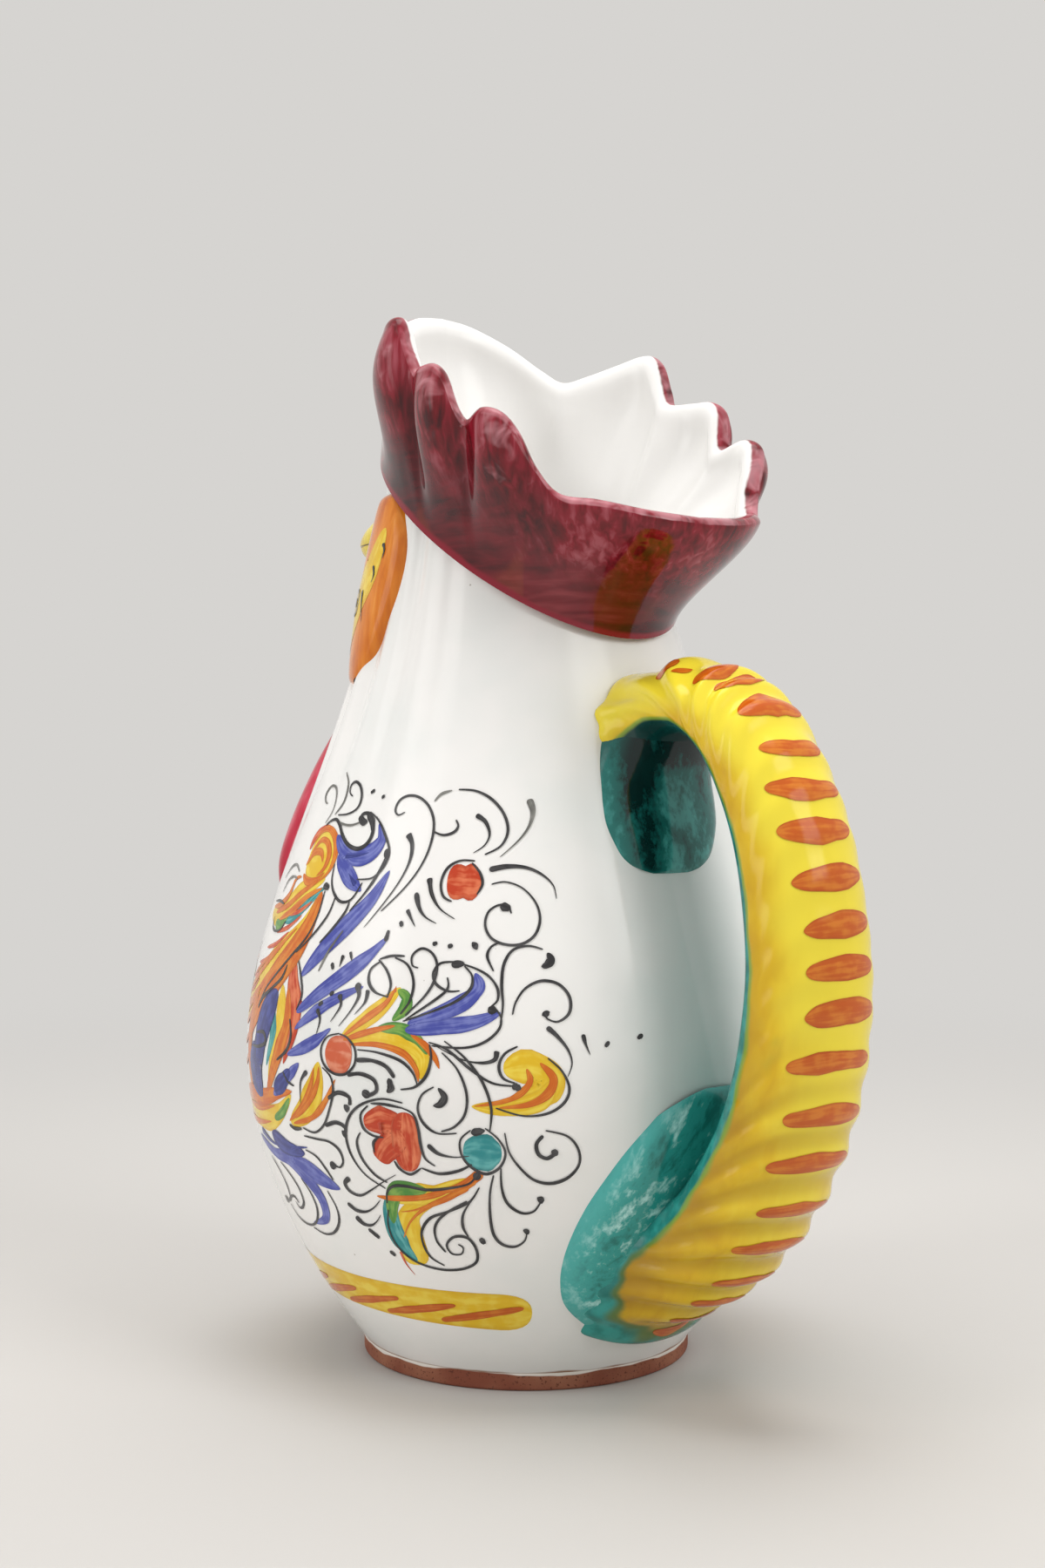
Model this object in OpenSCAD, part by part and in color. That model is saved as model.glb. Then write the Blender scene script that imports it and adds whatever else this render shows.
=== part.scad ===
// Glazed earthenware pitcher in the form of a chicken.
// The belly is thrown, the hackle neck is fluted, and a tall lobed comb makes the mouth.
// Beak, cheeks, wattles and the arched tail handle are made apart and luted on.
// Frame: +Z up, beak toward -Y, tail handle toward +Y, origin at the centre of the foot's resting face.

/* [Belly] */
// Diameter of the belly at its widest ring
belly_d = 132; // [116:1:150]
// Height of the widest ring above the table
belly_z = 72; // [64:1:82]
// Height where the plain belly ends and the fluted neck starts
neck_z = 108; // [100:1:111]
// Thickness of the fired wall
wall = 5.5; // [4:0.5:7]
// Thickness of the belly's floor
floor_t = 7; // [5:0.5:10]

/* [Foot] */
// Outer diameter of the bare clay foot ring
foot_d = 77; // [66:1:88]
// Height of the foot ring
foot_h = 4; // [3:0.5:6]
// Width of the foot ring's resting face
foot_w = 9; // [6:0.5:13]
// Bevel on the foot ring's lower edges
foot_bevel = 0.8; // [0.4:0.1:1.4]

/* [Neck] */
// Outer diameter of the neck at the throat, under the comb
throat_d = 62; // [58:1:70]
// Height of the throat, where the neck is narrowest
throat_z = 212; // [204:1:222]
// How far the top of the neck leans toward the beak
neck_lean = 3; // [0:0.5:6]
// Depth of the hackle flutes
flute_h = 0.9; // [0:0.1:2]
// Number of hackle flutes in a full turn
flute_count = 20; // [14:1:28]
// Height over which the flutes deepen above the belly
flute_rise = 45; // [24:1:60]
// Angle from the beak to where the flutes start to fade
flute_full_angle = 92; // [60:1:100]
// Angle from the beak to where the flutes are gone
flute_end_angle = 128; // [110:1:150]

/* [Comb] */
// Height of the comb's lower edge at the neck's centre line
comb_z = 194; // [190:1:200]
// Slope of the comb's lower edge, down toward the tail, in degrees
comb_tilt = 36; // [30:1:40]
// How far the comb's lower edge stands proud of the neck
comb_proud = 1.8; // [1:0.1:3]
// Height of the front lobe's peak
peak_z = 249; // [242:1:256]
// Height of the low rim over the tail
rear_z = 191.5; // [186:0.5:196]
// Distance from the axis to the comb at the front
comb_front = 37; // [35:0.5:40]
// Distance from the axis to the low rim over the tail
comb_rear = 62; // [56:0.5:66]
// Roundness of each lobe's outer face
lobe_swell = 3.6; // [0:0.1:5]

/* [Face] */
// How far the beak's tip stands from the axis
beak_reach = 67; // [58:1:72]
// Height of the mouth line at the beak's tip
beak_z = 194; // [192:0.5:197]
// Width of the beak at its root
beak_w = 22; // [18:1:26]
// Height of the beak at its root
beak_h = 17; // [14:1:22]
// Relief of the cheeks
cheek_h = 2.2; // [1.4:0.1:3]
// Width of each cheek
cheek_w = 29; // [22:1:32]
// Height of each cheek's lower tip
cheek_low_z = 151; // [147:1:156]
// Relief of the wattles
wattle_h = 5; // [3:0.1:6]
// Width of each wattle
wattle_w = 31; // [24:1:34]
// Height of the wattles' lower ends
wattle_low_z = 112; // [112:1:118]
// Height of the wattles' upper ends, under the beak
wattle_high_z = 178; // [170:1:180]

/* [Tail handle] */
// Distance from the axis to the handle's centre line at its widest
tail_reach = 92; // [84:1:100]
// Height of the centre line at the top of the arch
tail_top_z = 154.5; // [150:0.5:158]
// Height of the centre line where the handle meets the belly
tail_low_z = 21; // [18:1:25]
// Width of the strap at the middle of the handle
tail_w = 30; // [26:1:34]
// Thickness of the strap at the middle of the handle
tail_t = 21; // [17:1:24]
// Height of the slanting feather folds across the handle's back
rib_h = 0.9; // [0:0.1:1.4]
// Number of feather folds along the handle
rib_count = 13; // [8:1:18]
// How many folds a line straight across the handle would cross in a full turn round it
rib_slant = 5; // [2:1:8]
// Width of the fillet that joins the handle to the belly
low_root_w = 58; // [48:1:64]
// Height of the top of the lower fillet
low_root_top_z = 69; // [60:1:74]
// Height of the bottom of the lower fillet
low_root_low_z = 9; // [7:1:12]
// Width of the fillet that joins the handle to the neck
high_root_w = 35; // [30:1:40]
// Height of the top of the upper fillet
high_root_top_z = 151; // [147:0.5:153]
// Height of the bottom of the upper fillet
high_root_low_z = 115; // [112:1:122]
// Height that both fillets build up to beside the strap
root_h = 5; // [3:0.5:7]

/* [Hidden] */

// Overrun of every cut past the face that it trims
over = 1;
// Gap left under the comb by what ends there
seam = 0.2;
// How deep a luted piece is modelled below the skin before the skin is cut away from it
key = 1.5;
// A span larger than the whole pitcher, for half spaces
span = belly_d + peak_z;
// Facets on turned pieces
turn_facets = 96;
// Steps of the turned profile, below and above the widest ring
profile_steps = 12;
// Rings of the neck's loft
neck_rings = 10;
neck_in_rings = 3;
// Points round the neck, six to a flute
neck_sides = 6 * flute_count;
// Steps between two knots of the comb's rim
rim_steps = 2;
// Levels of the comb's outer face
comb_levels = 8;
// Points round, and rings along, the handle
tail_sides = 30;
tail_rings = 58;
// Points round, and rings along, the beak
beak_sides = 20;
beak_rings = 9;
// Points across, and rings along, a luted pad
pad_cross = 8;
pad_rings = 12;

// Tries at finding where the neck meets the comb's sloping plane
meet_tries = 12;
// A loft's first and last rings lie this share in from its ends, where the outline would close to nothing
end_share = 0.01;

belly_r = belly_d / 2;
foot_r = foot_d / 2;
throat_r = throat_d / 2;
tilt_ratio = tan(comb_tilt);

// The lower belly swells as this power of the height left to the widest ring
belly_curve_share = 1.9;
// The shoulder is half a cosine wave, drawn down a little by this power
shoulder_curve_share = 0.9;

// The comb's rim from the front to the rear, one side: angle from the beak, share of the rim's fall
// from the peak, share of its spread from the front to the rear, and share of the lobe's swell
rim_shares = [
    [0, 0, 0, 0.75],
    [14, 0.02, 0.01, 0.75],
    [30, 0.1, -0.04, 0.5],
    [45, 0.21, -0.15, 0.15],
    [57, 0.275, -0.2, 0],
    [68, 0.25, -0.12, 0.3],
    [80, 0.205, 0.02, 0.8],
    [90, 0.175, 0.12, 1],
    [96, 0.2, 0.15, 0.9],
    [100, 0.31, 0.16, 0.5],
    [104, 0.4, 0.17, 0.05],
    [110, 0.405, 0.35, 0.7],
    [116, 0.41, 0.46, 1],
    [120, 0.46, 0.5, 0.8],
    [123, 0.58, 0.48, 0.3],
    [126, 0.63, 0.5, 0],
    [131, 0.6, 0.68, 0.7],
    [136, 0.625, 0.76, 1],
    [140, 0.7, 0.77, 0.8],
    [144, 0.83, 0.74, 0.4],
    [149, 0.925, 0.78, 0.1],
    [157, 0.95, 0.9, 0],
    [168, 0.985, 0.98, 0],
    [180, 1, 1, 0],
];
// The handle's centre line from the neck round to the belly: share of the reach, share of the height
tail_shares = [
    [0.36, 0.88],
    [0.54, 0.965],
    [0.68, 0.975],
    [0.8, 0.935],
    [0.89, 0.855],
    [0.96, 0.745],
    [1, 0.59],
    [0.99, 0.465],
    [0.95, 0.355],
    [0.875, 0.25],
    [0.757, 0.148],
    [0.61, 0.07],
    [0.4, 0],
];
// The strap's width and thickness along the handle, as shares of those at its middle
strap_shares = [
    [0.88, 0.84],
    [0.86, 0.78],
    [0.88, 0.8],
    [0.9, 0.88],
    [0.94, 0.95],
    [1, 1],
    [1.04, 1.02],
    [1.12, 1.02],
    [1.22, 0.98],
    [1.36, 0.92],
];
// The strap's thickness outside its centre line, as a share of the whole, and how full its inner face is
back_share = 0.56;
inner_full_share = 0.8;
// Where round the strap the folds start and are full, as the sine of the angle from its sides
rib_from_share = -0.5;
rib_full_share = 0.5;
// How the feather folds stand along the handle: at the arch, and again on the lower half
rib_shares = [0.2, 1, 0.9, 0.35, 0.15, 0.2, 0.5, 0.8, 0.8, 0.3];

function mix(a, b, share) = a + (b - a) * share;
function ease(share) = let (u = min(max(share, 0), 1)) u * u * (3 - 2 * u);

// Point of a smooth curve through the knots, at a share of the way along them
function smooth(p0, p1, p2, p3, t) =
    (2 * p1 + (p2 - p0) * t + (2 * p0 - 5 * p1 + 4 * p2 - p3) * t * t + (3 * p1 - p0 - 3 * p2 + p3) * t * t * t) / 2;
function along(knots, share) =
    let (
        last = len(knots) - 1,
        place = min(max(share, 0), 1) * last,
        i = min(floor(place), last - 1)
    )
    smooth(knots[max(i - 1, 0)], knots[i], knots[i + 1], knots[min(i + 2, last)], place - i);

// Outer radius of the belly and neck at a height, without the flutes
function lower_share(z) = 1 - pow(1 - (z - foot_h) / (belly_z - foot_h), belly_curve_share);
function upper_share(z) =
    (1 + cos(180 * pow(min((z - belly_z) / (throat_z - belly_z), 1), shoulder_curve_share))) / 2;
function skin_r(z) =
    z < belly_z ? mix(foot_r, belly_r, lower_share(max(z, foot_h))) : mix(throat_r, belly_r, upper_share(z));

// The neck's centre moves toward the beak as it rises
function lean_at(z) = -neck_lean * ease((z - neck_z) / (throat_z - neck_z));

// Depth of the hackle flutes, fading into the belly below and toward the tail
function turn_of(angle) = abs(angle > 180 ? angle - 360 : angle);
function flute_cut(angle, z) =
    flute_h
    * ease((z - neck_z) / flute_rise)
    * (1 - ease((turn_of(angle) - flute_full_angle) / (flute_end_angle - flute_full_angle)))
    * (1 - cos(flute_count * angle)) / 2;

// A point at an angle from the beak, a distance off the skin and a height
function polar(angle, r, z) = [r * sin(angle), lean_at(z) - r * cos(angle), z];
function on_skin(angle, z, off) = polar(angle, skin_r(z) + off, z);

// Height at which the neck's skin, moved out by off, meets the comb's sloping lower plane
function plane_z(y) = comb_z - tilt_ratio * y;
function meet_z(angle, off, z, tries) =
    tries == 0 ? z : meet_z(angle, off, plane_z(on_skin(angle, z, off)[1]), tries - 1);
function edge_point(angle, off) =
    let (z = meet_z(angle, off, comb_z, meet_tries), p = on_skin(angle, z, off)) [p[0], p[1], plane_z(p[1])];

// Faces of a loft: rings of equal length, closed round each ring; the ends are capped, or joined in a loop
function band(n, a, b) =
    [for (i = [0 : n - 1]) let (j = (i + 1) % n) each [[a + i, b + i, b + j], [a + i, b + j, a + j]]];
function capped_faces(rings, n) = [
    [for (i = [0 : n - 1]) i],
    each [for (k = [0 : rings - 2]) each band(n, k * n, (k + 1) * n)],
    [for (i = [n - 1 : -1 : 0]) (rings - 1) * n + i],
];
function looped_faces(rings, n) = [for (k = [0 : rings - 1]) each band(n, k * n, ((k + 1) % rings) * n)];

module capped_loft(rings) {
    polyhedron([for (ring = rings) each ring], capped_faces(len(rings), len(rings[0])), convexity = 6);
}

module looped_loft(rings) {
    polyhedron([for (ring = rings) each ring], looped_faces(len(rings), len(rings[0])), convexity = 6);
}

// Outline of the thrown skin in radius and height, moved in by inset
function skin_profile(from_z, to_z, inset, steps) =
    [for (k = [0 : steps]) let (z = mix(from_z, to_z, k / steps)) [skin_r(z) - inset, z]];

// Solid form of the belly, used to seat what is luted to it
module belly_form() {
    rotate_extrude($fn = turn_facets)
        polygon([
            [0, foot_h],
            each skin_profile(foot_h, belly_z, 0, profile_steps),
            each skin_profile(belly_z, neck_z, 0, profile_steps / 2),
            [0, neck_z],
        ]);
}

// One ring of the neck between the belly's top and the comb's sloping plane
function neck_angles() = [for (i = [0 : neck_sides - 1]) 360 * i / neck_sides];
function neck_ring(share, inset, fluted) = [
    for (angle = neck_angles())
        let (
            edge = edge_point(angle, -inset),
            z = mix(neck_z, edge[2], share),
            cut = fluted ? flute_cut(angle, z) : 0
        )
        share == 1 ? edge : on_skin(angle, z, -inset - cut)
];
function neck_skin() = [for (k = [0 : neck_rings]) neck_ring(k / neck_rings, 0, k < neck_rings)];

// Solid form of the neck, used to seat what is luted to it
module neck_form() {
    capped_loft(neck_skin());
}

// Everything below the comb's lower plane, or below that by a drop
module below_comb(drop) {
    translate([0, 0, comb_z - drop]) rotate([-comb_tilt, 0, 0]) translate([-span, -span, -2 * span])
        cube([2 * span, 2 * span, 2 * span]);
}

module foot_ring() {
    color("sienna") rotate_extrude($fn = turn_facets)
        polygon([
            [foot_r - foot_w + foot_bevel, 0],
            [foot_r - foot_bevel, 0],
            [foot_r, foot_bevel],
            [foot_r, foot_h],
            [foot_r - foot_w, foot_h],
            [foot_r - foot_w, foot_bevel],
        ]);
}

module belly() {
    cavity_z = foot_h + floor_t;
    color("white") difference() {
        belly_form();
        rotate_extrude($fn = turn_facets)
            polygon([
                [0, cavity_z],
                each skin_profile(cavity_z, belly_z, wall, profile_steps),
                each skin_profile(belly_z, neck_z, wall, profile_steps / 2),
                [skin_r(neck_z) - wall, neck_z + over],
                [0, neck_z + over],
            ]);
    }
}

module neck() {
    inside = [for (k = [neck_in_rings : -1 : 0]) neck_ring(k / neck_in_rings, wall, false)];
    color("white") looped_loft([each neck_skin(), each inside]);
}

// Angles round the comb, packed closer at its lobes, first down one side and then up the other
rim_half = [
    for (k = [0 : len(rim_shares) - 2]) for (i = [0 : rim_steps - 1])
        along(rim_shares, (k + i / rim_steps) / (len(rim_shares) - 1))
];
rim_turn = [
    each rim_half,
    rim_shares[len(rim_shares) - 1],
    each [for (i = [len(rim_half) - 1 : -1 : 1]) [-rim_half[i][0], rim_half[i][1], rim_half[i][2], rim_half[i][3]]],
];
function rim_r(knot) = mix(comb_front, comb_rear, knot[2]);
function rim_z(knot) = mix(peak_z, rear_z, knot[1]);

// Unit direction from the axis to a point, and to an angle from the beak
function flat_r(p) = norm([p[0], p[1]]);
function heading(p) = [p[0], p[1]] / flat_r(p);
function bearing(angle) = [sin(angle), -cos(angle)];

// How much the comb's flare eases at both ends, and the power that moves its swell up toward the rim
flare_ease_share = 0.6;
swell_high_share = 1.6;

// A point of the comb's outer or inner face, at a share of the way up from its lower edge
function comb_point(knot, share, inset) =
    let (
        low = comb_low(knot, inset),
        z = mix(low[2], rim_z(knot) - wall / 3, share),
        flare = mix(share, ease(share), flare_ease_share),
        r = mix(flat_r(low), rim_r(knot) - inset, flare),
        swell = lobe_swell * knot[3] * sin(180 * pow(share, swell_high_share)),
        way = heading(mix(heading(low), bearing(knot[0]), ease(share)))
    )
    [(r + swell) * way[0], (r + swell) * way[1], z];
function comb_low(knot, inset) = edge_point(knot[0], inset > 0 ? -inset : comb_proud);
function comb_ring(share, inset) =
    [for (knot = rim_turn) share == 0 ? comb_low(knot, inset) : comb_point(knot, share, inset)];
function comb_top(inset, drop) =
    [for (knot = rim_turn)
        let (r = rim_r(knot) - inset) [r * sin(knot[0]), -r * cos(knot[0]), rim_z(knot) - drop]];

module comb() {
    outside = [for (k = [0 : comb_levels]) comb_ring(k / comb_levels, 0)];
    inside = [for (k = [comb_levels : -2 : 0]) comb_ring(k / comb_levels, wall)];
    crown = [comb_top(wall / 4, wall / 12), comb_top(wall / 2, 0), comb_top(wall * 3 / 4, wall / 12)];
    color("maroon") looped_loft([each outside, each crown, each inside]);
}

// The beak's girth just behind its tip, as a share of its girth at the root, and how blunt the tip is
beak_tip_share = 0.75;
beak_blunt = 4;
// How far the beak's middle rises toward its root, as a share of its height
beak_rise_share = 0.125;

// Rings of the beak from inside the neck to its rounded, slightly hooked tip
function beak_ring(share) =
    let (
        root = throat_r - key - wall / 2,
        reach = mix(root, beak_reach, sin(90 * share)),
        full = (reach - root) / (beak_reach - root),
        size = max(sqrt(1 - pow(full, beak_blunt)), end_share) * mix(1, beak_tip_share, full),
        rise = beak_h * beak_rise_share * cos(90 * full)
    )
    [for (i = [0 : beak_sides - 1])
        let (a = 360 * i / beak_sides)
        [beak_w / 2 * size * cos(a), -reach, beak_z + rise + beak_h / 2 * size * sin(a)]];

module beak_half(upper) {
    color("gold") intersection() {
        difference() {
            capped_loft([for (k = [0 : beak_rings]) beak_ring(k / beak_rings)]);
            neck_form();
            comb_band();
        }
        translate([-span / 2, -span, upper ? beak_z : beak_z - span]) cube([span, span, span]);
    }
}

// Everything that the comb covers, used to keep the face clear of it
module comb_band() {
    difference() {
        translate([-span / 2, -span / 2, 0]) cube([span, span, span]);
        below_comb(0);
    }
}

module beak_upper() {
    beak_half(true);
}

module beak_lower() {
    beak_half(false);
}

// How far a pad's cross section is rounded down toward its edges
pad_round_share = 0.96;

// A pad luted to the skin. Its middle line runs from a low angle and height to a high one, and its
// half width at each share of the way is half_w times a share from the outline
module pad(low_angle, low_z, high_angle, high_z, half_w, relief, outline, crown) {
    capped_loft([
        for (k = [0 : pad_rings])
            let (
                share = mix(end_share, 1 - end_share, k / pad_rings),
                z = mix(low_z, high_z, share),
                middle = mix(low_angle, high_angle, share),
                half_angle = along(outline, share) * half_w / skin_r(z) * 180 / PI,
                top = relief * along(crown, share)
            )
            [
                for (i = [0 : pad_cross])
                    let (t = 2 * i / pad_cross - 1)
                    on_skin(middle + half_angle * t, z, top * sqrt(1 - pad_round_share * t * t)),
                for (i = [pad_cross : -1 : 0])
                    let (t = 2 * i / pad_cross - 1)
                    on_skin(middle + half_angle * t, z, -key),
            ]
    ]);
}

// Outlines of the pads, from the low end to the high end, as shares of half the width, and the
// share of the relief along them
cheek_shares = [0.06, 0.42, 0.7, 0.88, 0.98, 1, 0.94, 0.77, 0.54, 0.31, 0.15];
wattle_shares = [0.1, 0.62, 0.86, 0.98, 1, 0.94, 0.8, 0.62, 0.46, 0.34, 0.26];
low_root_shares = [0.1, 0.56, 0.82, 0.95, 1, 1, 0.97, 0.88, 0.72, 0.46, 0.1];
high_root_shares = [0.4, 0.83, 0.97, 1, 1, 0.98, 0.94, 0.88, 0.8, 0.66, 0.3];
even_crown_shares = [0.2, 0.75, 0.95, 1, 1, 0.95, 0.75, 0.4];
root_crown_shares = [0.35, 0.5, 0.6, 0.75, 0.9, 1, 0.9, 0.3];
cheek_high_z = comb_z + cheek_w / 8;
cheek_low_angle = 57;
cheek_high_angle = 84;
wattle_low_angle = 43;
wattle_high_angle = 13;

module cheek(side) {
    color("darkorange") difference() {
        intersection() {
            pad(side * cheek_low_angle, cheek_low_z, side * cheek_high_angle, cheek_high_z, cheek_w / 2,
                cheek_h, cheek_shares, even_crown_shares);
            below_comb(seam);
        }
        neck_form();
    }
}

module wattle(side) {
    color("crimson") difference() {
        pad(side * wattle_low_angle, wattle_low_z, side * wattle_high_angle, wattle_high_z, wattle_w / 2,
            wattle_h, wattle_shares, even_crown_shares);
        belly_form();
        neck_form();
    }
}

module cheek_left() {
    cheek(-1);
}

module cheek_right() {
    cheek(1);
}

module wattle_left() {
    wattle(-1);
}

module wattle_right() {
    wattle(1);
}

// A point of the handle's centre line, and the way outward across it
function tail_middle(share) =
    let (q = along(tail_shares, share)) [0, tail_reach * q[0], mix(tail_low_z, tail_top_z, q[1])];
function tail_out(share) =
    let (d = tail_middle(share + end_share) - tail_middle(share - end_share)) [0, -d[2], d[1]] / norm(d);

// One ring of the strap: a full round back with slanting feather folds, and a flatter inner face
function tail_ring(share) =
    let (
        size = along(strap_shares, share),
        c = tail_middle(share),
        out = tail_out(share)
    )
    [for (i = [0 : tail_sides - 1])
        let (
            a = -360 * i / tail_sides,
            reach = ease((sin(a) - rib_from_share) / (rib_full_share - rib_from_share)),
            rib = rib_h * along(rib_shares, share) * reach * cos(360 * rib_count * share + rib_slant * a),
            depth = sin(a) > 0 ? back_share * sin(a) : (back_share - 1) * pow(-sin(a), inner_full_share),
            side = tail_w / 2 * size[0] * cos(a)
        )
        c + [side + rib * cos(a), 0, 0] + out * (tail_t * size[1] * depth + rib * sin(a))];

module tail_form() {
    capped_loft([for (k = [0 : tail_rings]) tail_ring(mix(end_share, 1 - end_share, k / tail_rings))]);
}

module tail_handle() {
    color("gold") difference() {
        tail_form();
        belly_form();
        neck_form();
    }
}

module tail_root_upper() {
    color("teal") difference() {
        pad(180, high_root_low_z, 180, high_root_top_z, high_root_w / 2, root_h, high_root_shares,
            root_crown_shares);
        belly_form();
        neck_form();
        tail_form();
    }
}

module tail_root_lower() {
    color("teal") difference() {
        pad(180, low_root_low_z, 180, low_root_top_z, low_root_w / 2, root_h, low_root_shares,
            even_crown_shares);
        belly_form();
        tail_form();
    }
}

foot_ring();
belly();
neck();
comb();
beak_upper();
beak_lower();
cheek_left();
cheek_right();
wattle_left();
wattle_right();
tail_handle();
tail_root_upper();
tail_root_lower();
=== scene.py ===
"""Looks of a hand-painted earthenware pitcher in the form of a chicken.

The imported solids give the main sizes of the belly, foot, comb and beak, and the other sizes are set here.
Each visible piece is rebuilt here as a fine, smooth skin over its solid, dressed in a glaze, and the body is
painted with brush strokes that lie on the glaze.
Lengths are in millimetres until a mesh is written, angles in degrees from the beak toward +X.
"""

from __future__ import annotations

import logging
import math
from dataclasses import dataclass, field
from enum import Enum
from functools import cached_property
from typing import Any, Sequence

import bpy
import numpy as np
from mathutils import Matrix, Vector

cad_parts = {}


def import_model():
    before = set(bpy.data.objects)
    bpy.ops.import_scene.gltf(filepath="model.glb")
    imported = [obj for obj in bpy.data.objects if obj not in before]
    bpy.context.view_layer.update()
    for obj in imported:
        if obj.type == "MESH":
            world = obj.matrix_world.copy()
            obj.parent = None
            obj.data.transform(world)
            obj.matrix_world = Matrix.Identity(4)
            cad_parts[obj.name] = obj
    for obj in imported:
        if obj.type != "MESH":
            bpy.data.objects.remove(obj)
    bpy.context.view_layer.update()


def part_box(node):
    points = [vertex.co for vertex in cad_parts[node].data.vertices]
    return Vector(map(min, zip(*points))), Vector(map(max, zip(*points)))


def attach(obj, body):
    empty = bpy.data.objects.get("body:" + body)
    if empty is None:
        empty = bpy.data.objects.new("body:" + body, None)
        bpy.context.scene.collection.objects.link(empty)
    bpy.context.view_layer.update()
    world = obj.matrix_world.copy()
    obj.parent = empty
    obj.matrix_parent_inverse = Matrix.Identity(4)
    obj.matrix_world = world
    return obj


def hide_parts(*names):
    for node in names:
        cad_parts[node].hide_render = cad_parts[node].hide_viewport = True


LOG = logging.getLogger("pitcher")
MM = 0.001
BODY = "root"
MIRROR_SEED = 11
Array = np.ndarray
Socket = bpy.types.NodeSocket
Colour = Socket | str
Material = bpy.types.Material
Shares = Sequence[float]
Knots = Sequence[Shares]
Place = tuple[float, float]
Values = dict[str, Array]


# Shared sums


def mix(low: Any, high: Any, share: Any) -> Any:
    """Value at a share of the way from low to high."""
    return low + (high - low) * share


def ease(share: Any) -> Any:
    """Smooth step of a share, flat at 0 and at 1."""
    held = np.clip(share, 0.0, 1.0)
    return held * held * (3.0 - 2.0 * held)


def along(knots: Knots, share: Array) -> Array:
    """Smooth curve through evenly spaced knots.

    Args:
        knots: Values, or rows of values, that the curve passes through.
        share: Places on the curve, 0 at the first knot and 1 at the last.

    Returns:
        One row of values for each place.
    """
    rows = np.asarray(knots, float)
    if rows.ndim == 1:
        rows = rows[:, None]
    last = len(rows) - 1
    place = np.clip(np.atleast_1d(share), 0.0, 1.0) * last
    start = np.minimum(place.astype(int), last - 1)
    t = (place - start)[:, None]
    p0, p1 = rows[np.maximum(start - 1, 0)], rows[start]
    p2, p3 = rows[start + 1], rows[np.minimum(start + 2, last)]
    bend, twist = 2 * p0 - 5 * p1 + 4 * p2 - p3, 3 * p1 - p0 - 3 * p2 + p3
    return (2 * p1 + (p2 - p0) * t + bend * t**2 + twist * t**3) / 2


def linear_colour(hex_code: str) -> tuple[float, float, float, float]:
    """Linear colour of an sRGB hex value such as "#8A1F38"."""
    channels = [int(hex_code[i : i + 2], 16) / 255 for i in (1, 3, 5)]
    linear = [c / 12.92 if c <= 0.04045 else ((c + 0.055) / 1.055) ** 2.4 for c in channels]
    return (linear[0], linear[1], linear[2], 1.0)


def per_size(size_mm: float) -> float:
    """Texture scale whose features are about that many millimetres."""
    return 1.0 / (size_mm * MM)


# Meshes


def write_mesh(name: str, points: Array, faces: Array, values: Values) -> bpy.types.Object:
    """Makes a smooth mesh object.

    Args:
        name: Name of the piece.
        points: Corner points in millimetres.
        faces: Rows of corner numbers.
        values: A number for each corner, under the name that a material reads.

    Returns:
        The new object, linked to the scene.
    """
    mesh = bpy.data.meshes.new(name)
    mesh.from_pydata((points * MM).tolist(), [], faces.tolist())
    for key, numbers in values.items():
        carrier = mesh.attributes.new(key, "FLOAT", "POINT")
        carrier.data.foreach_set("value", numbers.astype(np.float32).ravel())
    mesh.validate()
    mesh.shade_smooth()
    piece = bpy.data.objects.new(name, mesh)
    bpy.context.scene.collection.objects.link(piece)
    return piece


def sheet_faces(rows: int, columns: int, round_it: bool) -> Array:
    """Faces of a sheet of rows by columns, the columns closed into a ring or open.

    Args:
        rows: Number of rows of points.
        columns: Number of columns.
        round_it: True if the last column meets the first.

    Returns:
        Four corner numbers for each face.
    """
    row = np.arange(rows - 1)[:, None] * columns
    column = np.arange(columns if round_it else columns - 1)[None, :]
    beside = (column + 1) % columns
    corners = [row + column, row + beside, row + columns + beside, row + columns + column]
    return np.stack([np.broadcast_to(c, (rows - 1, column.size)) for c in corners], -1).reshape(-1, 4)


def sheets(
    name: str, grids: Sequence[Array], round_it: bool, values: Sequence[Values] = ()
) -> bpy.types.Object:
    """Makes one piece from grids of points that meet along crisp edges.

    Args:
        name: Name of the piece.
        grids: Points of each sheet as rows, columns and three coordinates, in millimetres.
        round_it: True if the last column of each sheet meets its first.
        values: For each sheet, a number for each point under the name that a material reads.

    Returns:
        The new object.
    """
    faces, start = [], 0
    for grid in grids:
        rows, columns = grid.shape[:2]
        faces.append(sheet_faces(rows, columns, round_it) + start)
        start += rows * columns
    carried = {
        key: np.concatenate([np.broadcast_to(v[key], g.shape[:2]).ravel() for v, g in zip(values, grids)])
        for key in (values[0] if values else ())
    }
    points = np.concatenate([grid.reshape(-1, 3) for grid in grids])
    return write_mesh(name, points, np.concatenate(faces), carried)


def hand_in(piece: bpy.types.Object, finish: Material, slot: str, *nodes: str) -> None:
    """Dresses a piece, ties it to the body and hides the solids that it stands for.

    Args:
        piece: The piece.
        finish: Its material.
        slot: Not used.
        *nodes: Solids that the piece replaces.
    """
    piece.data.materials.append(finish)
    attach(piece, BODY)
    if nodes:
        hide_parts(*nodes)
    LOG.info("%s: %d faces, %s", piece.name, len(piece.data.polygons), finish.name)


# Finishes


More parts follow.
